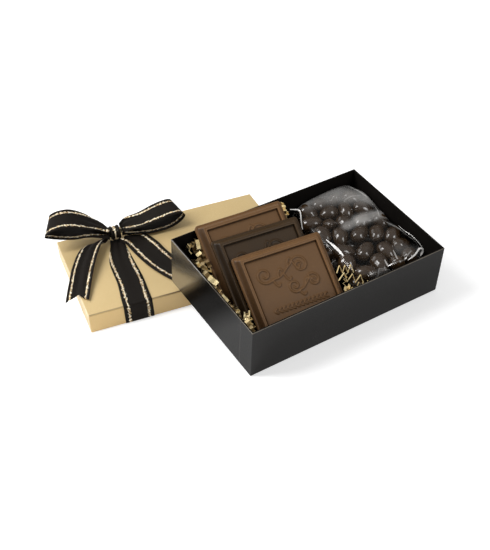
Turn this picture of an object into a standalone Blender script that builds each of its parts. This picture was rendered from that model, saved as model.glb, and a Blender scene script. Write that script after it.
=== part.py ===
# A two-piece gift box of moulded chocolate. The gold lid carries a ribbon and bow and lies flat.
# The black tray leans on the lid's corner. It holds three chocolate bars, crinkled paper shred
# and a clear bag of chocolate almonds. X runs along the tray, Y to the back and Z up, in metres.
import math

import bmesh
import bpy
import numpy as np
from mathutils import Matrix, Vector

mm = 0.001
degree = math.pi / 180

# Tray, whose length follows what lies in it
tray_width = 148 * mm
tray_height = 57 * mm
tray_wall = 2 * mm
fold_radius = 0.5 * mm

# Lid, which slips over the tray
lid_height = 20 * mm
lid_wall = 1.6 * mm
lid_play = 0.9 * mm

# How the tray leans on the lid's front right corner
lean_reach = 107.4 * mm
lean_side = 134 * mm
lid_turn = -11.4 * degree
seat_gap = 0.3 * mm
board_gap = 0.6 * mm

# Ribbon and bow
ribbon_width = 30 * mm
ribbon_thickness = 0.6 * mm
band_from_left = 51 * mm
knot_from_left = 61.5 * mm
knot_from_front = 127 * mm
knot_rise = 10 * mm
knot_length = 13 * mm
knot_depth = 18 * mm
knot_height = 15 * mm
bow_reach = 80 * mm
tail_notch = 10 * mm

# Chocolate bars
bar_length = 96 * mm
bar_height = 86 * mm
bar_base = 4 * mm
bar_rise = 6.5 * mm
bar_flange = 2 * mm
bar_slope = 3.8 * mm
bar_frame = 2.6 * mm
bar_step = 0.5 * mm
bar_panel_depth = 1.2 * mm
bar_edge = 0.9 * mm
bar_from_left = 24 * mm
bar_foot_rise = 12 * mm
bar_front_room = 23 * mm
bar_front_foot_rise = 4.5 * mm
bar_gap = 0.4 * mm
bar_turn = -4.7 * degree
bar_names = ("bar_back", "bar_middle", "bar_front")
bar_shift_shares = (0.02, 0.115, 0.15)
bar_rolls = (0.4 * degree, 1.1 * degree, -1.5 * degree)

# Paper shred
shred_gap = 0.4 * mm
shred_floor = 2.4 * mm
left_bank_width = 20 * mm
left_bank_height = 38 * mm
front_bank_length = 36 * mm
front_bank_past_bag = 12 * mm
front_bank_height = 38 * mm
bank_round = 3 * mm
strip_width = 3 * mm
strip_thickness = 0.3 * mm
strip_pitch = 3.6 * mm
strip_swing = 4 * mm
strip_folds = 8

# Bag of almonds
bag_width = 86.8 * mm
bag_height = 33 * mm
bag_front_room = 12.5 * mm
bag_from_wall = 1.5 * mm
bag_from_bars = 0.3 * mm
bag_lift = 10 * mm
film_thickness = 0.3 * mm
bag_slit = 1 * mm
almond_length = 24 * mm
almond_width = 16 * mm
almond_thickness = 15.9 * mm
almond_taper_share = 0.04
almond_full_share = 1.01
almond_power = 2.3
almond_gap = 0.15 * mm
almond_play = 0.5 * mm
almond_columns = 3
almond_rows = 6
almond_layers = 2
almond_tip_share = 0.3
almond_seed = 7
settle_steps = 600
settle_passes = 4
settle_fall_share = 0.6
fall_per_step = 0.35 * mm

bars_right = bar_from_left + (1 + max(bar_shift_shares)) * bar_length
tray_length = bars_right + bag_from_bars + bag_width + bag_from_wall + tray_wall
lid_length = tray_length + 2 * (lid_play + lid_wall)
lid_width = tray_width + 2 * (lid_play + lid_wall)
tray_tilt = math.atan((lid_height + seat_gap) / lean_reach)

# The bars lean from the rear rim to where the front bar's foot stands. This gives their angle
# from the upright, the way down the lowest bar, and how far each foot is past the one behind.
bar_thickness = bar_base + bar_rise
bar_pitch = bar_thickness + bar_gap
bars_in_front = len(bar_names) - 1
stack_rise = bars_in_front * bar_pitch
stack_room = tray_width - 2 * tray_wall - bar_front_room
stack_drop = tray_height - bar_front_foot_rise
stack_reach = math.sqrt(stack_room**2 + stack_drop**2 - stack_rise**2)
bar_lean = math.atan2(stack_room, stack_drop) - math.atan2(stack_rise, stack_reach)
bar_reach = (tray_height - bar_foot_rise) / math.cos(bar_lean)
bar_stagger = (stack_reach - bar_reach) / bars_in_front
bar_turn_reach = (bars_right - bar_from_left) * abs(math.sin(bar_turn))
bar_roll_reach = bar_length * abs(math.sin(bar_rolls[-1])) * math.sin(bar_lean)
bar_front_reach = bar_turn_reach + bar_roll_reach + bar_base * math.cos(bar_lean)
front_bank_depth = bar_front_room - bar_front_reach - 2 * shred_gap
bag_length = tray_width - 2 * tray_wall - bag_front_room - bag_from_wall

# Ribbon stations are shares of the bow's reach from the knot's centre: right, back, up.
# Then come the plan angle of the ribbon's width from the back direction, its roll upwards,
# and the share of the ribbon's full width that shows there.
right_loop_shares = (
    (0.09, 0.00, 0.04, 0, 0, 0.45),
    (0.19, 0.05, 0.05, 2, 2, 0.85),
    (0.38, 0.06, 0.06, 8, 6, 0.95),
    (0.60, 0.06, 0.11, 5, 9, 1.0),
    (0.78, 0.06, 0.14, -5, 8, 1.0),
    (0.90, 0.06, 0.14, -10, 8, 1.0),
    (0.95, 0.07, 0.08, -12, 8, 1.0),
    (0.88, 0.07, 0.00, -12, 6, 1.0),
    (0.74, 0.06, -0.06, -8, 3, 1.0),
    (0.53, 0.06, -0.08, 0, 0, 1.0),
    (0.33, 0.05, -0.05, 3, 0, 0.9),
    (0.09, 0.00, -0.02, 0, 0, 0.45),
)
left_loop_shares = (
    (-0.09, 0.00, 0.04, 0, 0, 0.45),
    (-0.15, 0.07, 0.09, 4, 3, 0.75),
    (-0.24, 0.12, 0.13, 7, 2, 0.88),
    (-0.36, 0.15, 0.21, 8, 6, 0.95),
    (-0.54, 0.18, 0.29, 11, 5, 1.0),
    (-0.69, 0.19, 0.31, 8, 4, 1.0),
    (-0.81, 0.19, 0.29, 11, 3, 1.0),
    (-0.87, 0.19, 0.23, 22, 9, 1.0),
    (-0.83, 0.20, 0.16, 18, 7, 1.0),
    (-0.70, 0.19, 0.10, 10, 4, 1.0),
    (-0.52, 0.16, 0.06, 8, 2, 1.0),
    (-0.39, 0.14, 0.05, 6, 0, 0.95),
    (-0.26, 0.10, 0.03, 4, 0, 0.85),
    (-0.09, 0.00, -0.02, 0, 0, 0.45),
)
left_tail_shares = (
    (-0.145, 0.00, -0.07, 45, 0, 0.42),
    (-0.25, -0.02, -0.05, 75, 4, 0.62),
    (-0.37, -0.14, -0.05, 95, 4, 0.75),
    (-0.54, -0.48, -0.075, 98, 2, 0.82),
    (-0.69, -0.85, -0.105, 105, 1, 0.80),
    (-0.82, -1.20, -0.125, 118, 10, 0.86),
)
right_tail_shares = (
    (0.10, -0.07, -0.07, 60, 0, 0.45),
    (0.23, -0.13, -0.09, 60, 3, 0.86),
    (0.31, -0.38, -0.10, 78, 3, 1.0),
    (0.36, -0.63, -0.105, 74, 2, 1.0),
    (0.43, -0.89, -0.105, 70, 1, 1.0),
    (0.53, -1.14, -0.11, 63, 0, 1.0),
    (0.66, -1.40, -0.11, 60, 0, 1.0),
)
# Band stations: share of the way from the lid's front edge to the knot, share of the way
# from the band's line to the knot's, and the share of the ribbon's width.
band_shares = ((0.0, 0.0, 1.0), (0.35, 0.35, 0.92), (0.65, 0.45, 0.84), (0.93, 0.75, 0.5))
back_band_shares = ((0.0, 1.0, 0.45), (0.5, 0.7, 0.6), (1.0, 0.3, 0.8))
# Strips that stand up out of the banks: share along the bank, share across it, plan angle.
left_strip_shares = ((0.14, 0.5, 84), (0.38, 0.5, 95), (0.62, 0.45, 80), (0.86, 0.5, 98))
front_strip_shares = ((0.5, 0.25, 4), (0.5, 0.75, 1))

parts = bpy.data.collections.new("chocolate_gift_box")
cutters = bpy.data.collections.new("cutters")


def clear_scene():
    for obj in list(bpy.data.objects):
        bpy.data.objects.remove(obj, do_unlink=True)
    bpy.context.scene.collection.children.link(parts)
    bpy.context.scene.collection.children.link(cutters)


def finish(name, colour, roughness, metallic=0.0):
    material = bpy.data.materials.new(name)
    material.use_nodes = True
    shader = material.node_tree.nodes["Principled BSDF"]
    shader.inputs["Base Color"].default_value = (*colour, 1.0)
    shader.inputs["Roughness"].default_value = roughness
    shader.inputs["Metallic"].default_value = metallic
    return material


def frame_empty(name, parent=None, location=(0, 0, 0), rotation=(0, 0, 0)):
    empty = bpy.data.objects.new(name, None)
    parts.objects.link(empty)
    empty.parent = parent
    empty.location = location
    empty.rotation_euler = rotation
    return empty


def add_piece(name, mesh, material, parent, location=(0, 0, 0), rotation=(0, 0, 0)):
    obj = bpy.data.objects.new(name, mesh)
    parts.objects.link(obj)
    obj.parent = parent
    obj.location = location
    obj.rotation_euler = rotation
    if not mesh.materials:
        mesh.materials.append(material)
    return obj


def mesh_from(name, bm, smooth=False):
    bmesh.ops.recalc_face_normals(bm, faces=bm.faces)
    mesh = bpy.data.meshes.new(name)
    bm.to_mesh(mesh)
    bm.free()
    if smooth:
        mesh.shade_smooth()
    return mesh


def block(low, high):
    bm = bmesh.new()
    low, high = Vector(low), Vector(high)
    size = high - low
    placed = Matrix.Translation((low + high) / 2) @ Matrix.Diagonal((*size, 1))
    bmesh.ops.create_cube(bm, size=1, matrix=placed)
    return bm


def add_solidify(obj, thickness, offset):
    wall = obj.modifiers.new("wall", "SOLIDIFY")
    wall.thickness = thickness
    wall.offset = offset
    wall.use_even_offset = True


def add_bevel(obj, width, segments):
    bevel = obj.modifiers.new("rounded_edges", "BEVEL")
    bevel.width = width
    bevel.segments = segments
    bevel.limit_method = "ANGLE"
    bevel.angle_limit = 25 * degree


def board_box(name, size, wall, mouth, material, parent):
    """A folded board box with its corner at the origin, open towards mouth, 1 up or -1 down."""
    bm = block((0, 0, 0), size)
    open_side = [face for face in bm.faces if face.normal.z * mouth > 0.5]
    bmesh.ops.delete(bm, geom=open_side, context="FACES_ONLY")
    box = add_piece(name, mesh_from(name, bm), material, parent)
    add_solidify(box, wall, -1)
    add_bevel(box, fold_radius, 2)
    return box


def smooth_value(values, place):
    """Catmull-Rom through the rows of values, at a place from 0 to the last row."""
    last = len(values) - 1
    first = min(int(place), last - 1)
    t = place - first
    before, start, end, after = (
        np.asarray(values[min(max(k, 0), last)], float)
        for k in (first - 1, first, first + 1, first + 2)
    )
    curve = (end - before) * t + (2 * before - 5 * start + 4 * end - after) * t**2
    return start + (curve + (3 * start - before - 3 * end + after) * t**3) / 2


def station_point(stations, place, across):
    """A point on a ribbon, across from -1 to 1, measured from the knot's centre."""
    right, back, up, turn, roll, width = smooth_value(stations, place)
    turn, roll = turn * degree, roll * degree
    side = Vector((math.sin(turn) * math.cos(roll), math.cos(turn) * math.cos(roll), math.sin(roll)))
    centre = Vector((right, back, up)) * bow_reach
    return centre + side * (across * width * ribbon_width / 2)


def ribbon_mesh(name, point_at, length_steps, width_steps):
    """A flat strip bent so that its unit grid point (along, across) goes to point_at."""
    bm = bmesh.new()
    bmesh.ops.create_grid(bm, x_segments=length_steps, y_segments=width_steps, size=0.5)
    for vertex in bm.verts:
        vertex.co = point_at(vertex.co.x + 0.5, vertex.co.y * 2)
    mesh = bpy.data.meshes.new(name)
    bm.to_mesh(mesh)
    bm.free()
    mesh.shade_smooth()
    return mesh


def bow_strip(name, stations, length_steps, material, parent, notch=0.0):
    last = len(stations) - 1
    middles = [station_point(stations, last * k / length_steps, 0) for k in range(length_steps + 1)]
    length = sum((b - a).length for a, b in zip(middles, middles[1:]))

    def point_at(along, across):
        cut = notch / length * (1 - abs(across))
        return station_point(stations, last * along * (1 - cut), across)

    centre = (knot_from_left, knot_from_front, lid_height + knot_rise)
    strip = add_piece(name, ribbon_mesh(name, point_at, length_steps, 4), material, parent, centre)
    add_solidify(strip, ribbon_thickness, 0)
    return strip


def barrel_mesh(name, size, power):
    """A block with well rounded edges: a cube's grid drawn in to a superellipsoid."""
    bm = bmesh.new()
    bmesh.ops.create_cube(bm, size=2)
    bmesh.ops.subdivide_edges(bm, edges=bm.edges[:], cuts=5, use_grid_fill=True)
    for vertex in bm.verts:
        reach = sum(abs(value) ** power for value in vertex.co) ** (1 / power)
        vertex.co = [value / reach * side / 2 for value, side in zip(vertex.co, size)]
    return mesh_from(name, bm, smooth=True)


def make_lid(parent, board, ribbon):
    size = (lid_length, lid_width, lid_height)
    board_box("lid_board", size, lid_wall, -1, board, parent)

    on_top = lid_height + seat_gap + ribbon_thickness / 2
    in_front = -seat_gap - ribbon_thickness / 2
    drop = on_top - ribbon_thickness / 2
    run = knot_from_front * band_shares[-1][0] - in_front
    centre_line = (band_from_left, knot_from_left)

    def band_row(shares, share):
        way = share * (len(shares) - 1)
        return smooth_value(shares, way)

    def front_band_point(along, across):
        travelled = along * (drop + run)
        down = min(travelled, drop)
        gone = max(travelled - drop, 0)
        row = band_row(band_shares, gone / run)
        middle = centre_line[0] + (centre_line[1] - centre_line[0]) * row[1]
        x = middle + across * row[2] * ribbon_width / 2
        return Vector((x, in_front + gone, ribbon_thickness / 2 + down))

    steps = 24
    turn_step = round(steps * drop / (drop + run))
    # The grid's rows are moved so that one lies exactly on the lid's front fold.
    fold_share = drop / (drop + run)

    def along_fold(along):
        row = along * steps
        if row <= turn_step:
            return fold_share * row / turn_step
        return fold_share + (1 - fold_share) * (row - turn_step) / (steps - turn_step)

    band = add_piece(
        "ribbon_band",
        ribbon_mesh("ribbon_band", lambda a, c: front_band_point(along_fold(a), c), steps, 2),
        ribbon,
        parent,
    )
    add_solidify(band, ribbon_thickness, 0)

    behind = knot_from_front + knot_depth / 2
    back_run = lid_width + seat_gap + ribbon_thickness / 2 - behind
    back_fold = back_run / (back_run + drop)
    back_steps = 10
    back_turn = round(back_steps * back_fold)

    def back_band_point(along, across):
        row = along * back_steps
        if row <= back_turn:
            gone, down = back_run * row / back_turn, 0
        else:
            gone, down = back_run, drop * (row - back_turn) / (back_steps - back_turn)
        shares = band_row(back_band_shares, gone / back_run)
        middle = centre_line[0] + (centre_line[1] - centre_line[0]) * shares[1]
        x = middle + across * shares[2] * ribbon_width / 2
        return Vector((x, behind + gone, on_top - down))

    strand = add_piece(
        "ribbon_back_strand",
        ribbon_mesh("ribbon_back_strand", back_band_point, back_steps, 2),
        ribbon,
        parent,
    )
    add_solidify(strand, ribbon_thickness, 0)

    knot_size = (knot_length, knot_depth, knot_height)
    centre = (knot_from_left, knot_from_front, lid_height + knot_rise)
    add_piece("bow_knot", barrel_mesh("bow_knot", knot_size, 3.5), ribbon, parent, centre)
    bow_strip("bow_right_loop", right_loop_shares, 30, ribbon, parent)
    bow_strip("bow_left_loop", left_loop_shares, 30, ribbon, parent)
    bow_strip("bow_left_tail", left_tail_shares, 14, ribbon, parent, tail_notch)
    bow_strip("bow_right_tail", right_tail_shares, 16, ribbon, parent, tail_notch)


def bar_mesh():
    """A moulded bar: a base slab, a sloped rise to a raised frame, and a sunk flat panel."""
    bm = block((0, -bar_base, 0), (bar_length, 0, bar_height))
    bm.faces.ensure_lookup_table()
    front = [face for face in bm.faces if face.normal.y < -0.5]

    def inset(width, forward):
        bmesh.ops.inset_region(bm, faces=front, thickness=width, depth=0, use_even_offset=True)
        for vertex in front[0].verts:
            vertex.co.y -= forward

    inset(bar_flange, 0)
    inset(bar_slope, bar_rise)
    inset(bar_frame, 0)
    inset(bar_step, -bar_panel_depth)
    return mesh_from("moulded_bar", bm)


def bar_foot(k):
    """The back edge of a bar's foot, seen from the rear rim that the stack leans on."""
    along = Vector((0, math.sin(bar_lean), math.cos(bar_lean)))
    forward = Vector((0, -math.cos(bar_lean), math.sin(bar_lean)))
    down = bar_reach + k * bar_stagger
    return forward * (seat_gap + k * bar_pitch) - along * down


def make_bars(stack, finishes):
    """The bars lean back on the tray's rear rim, each lying on the one behind it."""
    mesh = bar_mesh()
    for k, name in enumerate(bar_names):
        own = mesh.copy()
        own.materials.append(finishes[k % 2])
        place = bar_foot(k)
        place.x = bar_shift_shares[k] * bar_length
        bar = add_piece(name, own, finishes[k % 2], stack, place)
        lean = Matrix.Rotation(-bar_lean, 4, "X")
        roll = Matrix.Rotation(-bar_rolls[k], 4, "Y")
        bar.rotation_euler = (lean @ roll).to_euler()
        add_bevel(bar, bar_edge, 2)


def outline_block(name, outline, low, high, axis, material, parent):
    """A flat outline drawn as a closed curve and filled, then pushed out to a block."""
    curve = bpy.data.curves.new(name, "CURVE")
    curve.dimensions = "2D"
    curve.fill_mode = "BOTH"
    curve.extrude = (high - low) / 2
    spline = curve.splines.new("POLY")
    spline.points.add(len(outline) - 1)
    for point, (x, y) in zip(spline.points, outline):
        point.co = (x, y, 0, 1)
    spline.use_cyclic_u = True
    curve.materials.append(material)
    obj = bpy.data.objects.new(name, curve)
    parts.objects.link(obj)
    obj.parent = parent
    middle = (high + low) / 2
    if axis == "Z":
        obj.location = (0, 0, middle)
    else:
        obj.location = (middle, 0, 0)
        obj.rotation_euler = (math.pi / 2, 0, math.pi / 2)
    return obj


def strip_mesh():
    """A narrow paper strip folded to and fro, standing on its lower folds."""
    bm = bmesh.new()
    bmesh.ops.create_grid(bm, x_segments=strip_folds, y_segments=1, size=0.5)
    for vertex in bm.verts:
        fold = round((vertex.co.x + 0.5) * strip_folds)
        swing = strip_swing if fold % 2 else -strip_swing
        vertex.co = ((fold - strip_folds / 2) * strip_pitch, vertex.co.y * strip_width, swing)
    mesh = bpy.data.meshes.new("crinkle_strip")
    bm.to_mesh(mesh)
    bm.free()
    return mesh


def make_shred(tray, stack, paper):
    inside = tray_wall + shred_gap
    feet = []
    for k, roll in enumerate(bar_rolls):
        foot = bar_foot(k)
        dip = bar_length * abs(math.sin(roll)) * math.cos(bar_lean)
        feet.append((foot.y, foot.z - shred_gap - dip))
    # The stack's frame stands on the tray's rear rim, so the floor is a tray's height below.
    floor = shred_floor - tray_height
    slack = bar_length * abs(math.sin(bar_turn))
    front = 2 * inside + slack - tray_width
    back = -2 * shred_gap
    rear_top = back / math.tan(bar_lean) - 2 * shred_gap
    outline = [(front, floor), (front, feet[-1][1]), *reversed(feet), (back, rear_top), (back, floor)]
    left = bar_shift_shares[0] * bar_length
    right = left + bar_length
    outline_block("shred_bed", outline, left, right, "X", paper, stack)

    # The left bank narrows to the front, because the bars stand turned in the tray.
    taper = (tray_width - 2 * inside) * math.sin(-bar_turn)
    back_edge = inside + left_bank_width
    plan = [
        (inside, inside),
        (back_edge - taper, inside),
        (back_edge, tray_width - inside),
        (inside, tray_width - inside),
    ]
    bank = outline_block(
        "shred_left_bank", plan, shred_floor, shred_floor + left_bank_height, "Z", paper, tray
    )
    weld = bank.modifiers.new("weld", "WELD")
    weld.merge_threshold = fold_radius / 10
    add_bevel(bank, bank_round, 2)

    bag_left = bars_right + bag_from_bars
    bank_left = bag_left + front_bank_past_bag - front_bank_length
    front_bank = block(
        (bank_left, inside, shred_floor),
        (bank_left + front_bank_length, inside + front_bank_depth, shred_floor + front_bank_height),
    )
    bank = add_piece("shred_front_bank", mesh_from("shred_front_bank", front_bank), paper, tray)
    add_bevel(bank, bank_round, 2)
    cushion = block(
        (bag_left, inside + front_bank_depth + shred_gap, shred_floor),
        (tray_length - inside, tray_width - inside, tray_wall + bag_lift),
    )
    bed = add_piece("shred_cushion", mesh_from("shred_cushion", cushion), paper, tray)
    add_bevel(bed, bank_round, 2)

    stand = strip_swing + strip_thickness + shred_gap
    mesh = strip_mesh()
    strips = []
    for back_share, across_share, turn in left_strip_shares:
        y = inside + (tray_width - 2 * inside) * back_share
        width_here = left_bank_width - taper * (1 - back_share)
        place = (inside + width_here * across_share, y, shred_floor + left_bank_height + stand)
        strips.append((place, turn))
    for along_share, across_share, turn in front_strip_shares:
        x = bank_left + front_bank_length * along_share
        y = inside + front_bank_depth * across_share
        strips.append(((x, y, shred_floor + front_bank_height + stand), turn))
    for k, (place, turn) in enumerate(strips):
        name = f"crinkle_strip_{k + 1}"
        strip = add_piece(name, mesh, paper, tray, place, (0, 0, turn * degree))
        add_solidify(strip, strip_thickness, 0)


def nearest_on_pairs(start, end, first, second):
    """Closest points of each pair of segments, as shares along them, and the gap between."""
    d1, d2 = end[first] - start[first], end[second] - start[second]
    r = start[first] - start[second]
    a, e = (d1 * d1).sum(1), (d2 * d2).sum(1)
    b, c, f = (d1 * d2).sum(1), (d1 * r).sum(1), (d2 * r).sum(1)
    spread = np.maximum(a * e - b * b, 1e-6 * a * e)
    s = np.clip((b * f - c * e) / spread, 0, 1)
    t = np.clip((b * s + f) / e, 0, 1)
    s = np.clip((b * t - c) / a, 0, 1)
    return s, t, r + d1 * s[:, None] - d2 * t[:, None]


def settle_almonds(room):
    """Drops the almonds, as round-ended rods, into a room of half sizes until they lie still.

    They start in layers that don't touch, and the room's top comes down on them as they fall.
    """
    rng = np.random.default_rng(almond_seed)
    radius = almond_width / 2
    stem = almond_length / 2 - radius
    apart = 2 * radius + almond_gap
    layers = (almond_layers - 1) * apart
    grid = (almond_columns, almond_rows)
    cells = np.array([(i, j, k) for k in range(almond_layers) for j in range(grid[1]) for i in range(grid[0])])
    centres = cells * apart - room
    centres[:, :2] = ((cells[:, :2] + 0.5) / grid * 2 - 1) * room[:2]
    centres[:, 0] += (cells[:, 1] % 2 - 0.5) * radius
    axes = rng.normal(size=centres.shape)
    axes[:, 2] *= almond_tip_share
    axes /= np.linalg.norm(axes, axis=1)[:, None]
    start, end = centres - axes * stem, centres + axes * stem
    first, second = np.triu_indices(len(centres), 1)
    falls = int(settle_steps * settle_fall_share)
    for step in range(settle_steps):
        top = room + (0, 0, layers * max(1 - step / falls, 0))
        if step < falls:
            start[:, 2] -= fall_per_step
            end[:, 2] -= fall_per_step
        for _ in range(settle_passes):
            s, t, gap = nearest_on_pairs(start, end, first, second)
            distance = np.maximum(np.linalg.norm(gap, axis=1), stem / len(centres))
            push = np.maximum(apart - distance, 0)[:, None] * gap / distance[:, None] / 2
            for ends, share in ((start, 1 - s), (end, s)):
                np.add.at(ends, first, push * share[:, None])
            for ends, share in ((start, 1 - t), (end, t)):
                np.add.at(ends, second, -push * share[:, None])
            start, end = np.clip(start, -room, top), np.clip(end, -room, top)
            middle, reach = (start + end) / 2, end - start
            reach *= stem / np.linalg.norm(reach, axis=1)[:, None]
            start, end = middle - reach, middle + reach
    return (start + end) / 2, end - start


def almond_mesh():
    bm = bmesh.new()
    bmesh.ops.create_icosphere(bm, subdivisions=2, radius=1)
    for vertex in bm.verts:
        along, round_it = abs(vertex.co.x), math.hypot(vertex.co.y, vertex.co.z)
        reach = (along**almond_power + round_it**almond_power) ** (1 / almond_power)
        vertex.co *= almond_full_share / reach
        narrow = 1 - almond_taper_share * max(vertex.co.x, 0)
        vertex.co.x *= almond_length / 2
        vertex.co.y *= almond_width / 2 * narrow
        vertex.co.z *= almond_thickness / 2 * narrow
    return mesh_from("almond", bm, smooth=True)


def make_bag(tray, film, coating):
    """A clear film bag that lies on the shred, and the almonds in it."""
    corner = almond_width / 2 + almond_play + film_thickness
    half = Vector((bag_width, bag_length, bag_height)) / 2
    centre = Vector(
        (
            tray_length - tray_wall - bag_from_wall - half.x,
            tray_width - tray_wall - bag_from_wall - half.y,
            tray_wall + bag_lift + seat_gap + half.z,
        )
    )
    bag = frame_empty("bag_frame", tray, centre)
    bm = block(-half, half)
    bmesh.ops.bevel(
        bm, geom=bm.edges[:], offset=corner, segments=4, profile=0.5, affect="EDGES"
    )
    shell = add_piece("bag_film", mesh_from("bag_film", bm, smooth=True), film, bag)
    add_solidify(shell, film_thickness, -1)
    slit_half = half.x - corner
    front = -half.y
    slit = block((-slit_half, front - corner, -bag_slit / 2), (slit_half, front + corner, bag_slit / 2))
    cutter = bpy.data.objects.new("bag_slit_cutter", mesh_from("bag_slit_cutter", slit))
    cutters.objects.link(cutter)
    cutter.parent = bag
    cutter.hide_render = True
    cutter.display_type = "WIRE"
    cut = shell.modifiers.new("slit", "BOOLEAN")
    cut.operation = "DIFFERENCE"
    cut.object = cutter

    room = np.array(half) - corner
    centres, axes = settle_almonds(room)
    mesh = almond_mesh()
    for k, (place, axis) in enumerate(zip(centres, axes)):
        almond = add_piece(f"almond_{k + 1:02d}", mesh, coating, bag, Vector(place))
        almond.rotation_euler = Vector(axis).to_track_quat("X", "Z").to_euler()


def centre_on_floor(layout):
    """Moves everything so that the object stands on Z 0 with its box centred on the origin."""
    bpy.context.view_layer.update()
    graph = bpy.context.evaluated_depsgraph_get()
    corners = []
    for obj in parts.objects:
        if obj.type == "EMPTY":
            continue
        evaluated = obj.evaluated_get(graph)
        mesh = evaluated.to_mesh()
        corners += [evaluated.matrix_world @ vertex.co for vertex in mesh.vertices]
        evaluated.to_mesh_clear()
    points = np.array(corners)
    low, high = points.min(0), points.max(0)
    layout.location = (-(low[0] + high[0]) / 2, -(low[1] + high[1]) / 2, -low[2])


def main():
    clear_scene()
    black_board = finish("black_paperboard", (0.022, 0.020, 0.018), 0.35)
    gold_board = finish("gold_paperboard", (0.66, 0.50, 0.24), 0.42, 0.5)
    ribbon = finish("black_ribbon", (0.018, 0.016, 0.015), 0.6)
    milk = finish("milk_chocolate", (0.145, 0.068, 0.030), 0.45)
    dark = finish("dark_chocolate", (0.045, 0.026, 0.015), 0.42)
    paper = finish("crinkle_paper", (0.75, 0.55, 0.26), 0.6)
    film = finish("clear_film", (0.75, 0.75, 0.75), 0.1)
    coating = finish("almond_coating", (0.030, 0.017, 0.011), 0.2)

    layout = frame_empty("layout")
    right_front = Vector((lean_side, lean_reach, 0))
    lid_along = Vector((math.cos(lid_turn), math.sin(lid_turn), 0))
    lid = frame_empty("lid_frame", layout, right_front - lid_along * lid_length, (0, 0, lid_turn))
    make_lid(lid, gold_board, ribbon)

    tray = frame_empty("tray_frame", layout, (0, 0, 0), (tray_tilt, 0, 0))
    board_box("tray_board", (tray_length, tray_width, tray_height), tray_wall, 1, black_board, tray)
    rear_rim = (bar_from_left, tray_width - tray_wall, tray_height)
    stack = frame_empty("bar_stack_frame", tray, rear_rim, (0, 0, bar_turn))
    make_bars(stack, (milk, dark))
    make_shred(tray, stack, paper)
    make_bag(tray, film, coating)
    centre_on_floor(layout)


main()
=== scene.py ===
import math
import random
from functools import partial

import bpy
import bmesh
import numpy as np
from mathutils import Matrix, Vector, noise


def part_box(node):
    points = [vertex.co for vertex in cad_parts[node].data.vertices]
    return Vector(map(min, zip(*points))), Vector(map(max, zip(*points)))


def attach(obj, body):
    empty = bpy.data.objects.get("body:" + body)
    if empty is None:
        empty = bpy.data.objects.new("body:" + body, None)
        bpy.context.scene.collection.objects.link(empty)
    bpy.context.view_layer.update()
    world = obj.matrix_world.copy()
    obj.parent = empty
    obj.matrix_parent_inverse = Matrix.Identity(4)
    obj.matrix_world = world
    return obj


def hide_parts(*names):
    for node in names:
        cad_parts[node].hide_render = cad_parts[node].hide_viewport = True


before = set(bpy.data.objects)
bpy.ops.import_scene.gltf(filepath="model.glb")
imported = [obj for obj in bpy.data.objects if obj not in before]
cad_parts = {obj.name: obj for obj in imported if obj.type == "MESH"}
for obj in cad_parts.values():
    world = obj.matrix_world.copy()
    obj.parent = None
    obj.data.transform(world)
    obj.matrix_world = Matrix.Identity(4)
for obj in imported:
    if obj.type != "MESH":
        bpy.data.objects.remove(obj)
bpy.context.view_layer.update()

mm = 0.001

# Where the tray and the lid stand, in the frame's metres
layout = {
    "trayLength": 225 * mm,
    "trayWidth": 148 * mm,
    "trayHeight": 57 * mm,
    "trayWall": 2 * mm,
    "lidLength": 230 * mm,
    "lidWidth": 153 * mm,
    "lidHeight": 20 * mm,
    "leanReach": 107.4 * mm,
    "leanSide": 134 * mm,
    "lidTurn": math.radians(-11.4),
    "seatGap": 0.3 * mm,
}
trayTilt = math.atan((layout["lidHeight"] + layout["seatGap"]) / layout["leanReach"])
trayLow = Vector(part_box("tray_board")[0])
trayCorner = Vector((trayLow.x, trayLow.y + math.sin(trayTilt) * layout["trayHeight"], 0))
trayPlace = Matrix.Translation(trayCorner) @ Matrix.Rotation(trayTilt, 4, "X")
lidAlong = Vector((math.cos(layout["lidTurn"]), math.sin(layout["lidTurn"]), 0))
lidLeft = trayCorner + Vector((layout["leanSide"], layout["leanReach"], 0)) - lidAlong * layout["lidLength"]
lidPlace = Matrix.Translation(lidLeft) @ Matrix.Rotation(layout["lidTurn"], 4, "Z")


def makePiece(name, points, faces, place=None, material=None, uvs=None):
    mesh = bpy.data.meshes.new(name)
    mesh.from_pydata([tuple(p) for p in points], [], faces)
    if uvs is not None:
        layer = mesh.uv_layers.new(name="UVMap")
        for loop in mesh.loops:
            layer.data[loop.index].uv = uvs[loop.vertex_index]
    if place is not None:
        mesh.transform(place)
    mesh.shade_smooth()
    if material:
        mesh.materials.append(material)
    mesh.update()
    return linkObject(name, mesh)


def linkObject(name, data):
    obj = bpy.data.objects.new(name, data)
    bpy.context.scene.collection.objects.link(obj)
    return obj


def setAttribute(mesh, key, values):
    layer = mesh.attributes.new(key, "FLOAT", "POINT")
    layer.data.foreach_set("value", np.asarray(values, np.float32).ravel())


def gridFaces(rows, columns, closed=False, base=0):
    # Quads over a grid of points. With closed, each row runs round to its own start.
    faces = []
    for i in range(rows - 1):
        for j in range(columns if closed else columns - 1):
            here, after = base + i * columns, (j + 1) % columns
            faces.append((here + j, here + after, here + columns + after, here + columns + j))
    return faces


def turnedOver(faces):
    return [tuple(reversed(face)) for face in faces]


def smoothValue(values, place):
    # Catmull-Rom through rows of values
    last = len(values) - 1
    first = min(int(place), last - 1)
    t = place - first
    rows = [np.asarray(values[min(max(first + k, 0), last)], float) for k in (-1, 0, 1, 2)]
    p0, p1, p2, p3 = rows
    bend = (2 * p0 - 5 * p1 + 4 * p2 - p3) * t**2 + (3 * p1 - p0 - 3 * p2 + p3) * t**3
    return p1 + ((p2 - p0) * t + bend) / 2


def densePath(path, count):
    return np.array([smoothValue(path, t) for t in np.linspace(0, len(path) - 1, count)])


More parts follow.
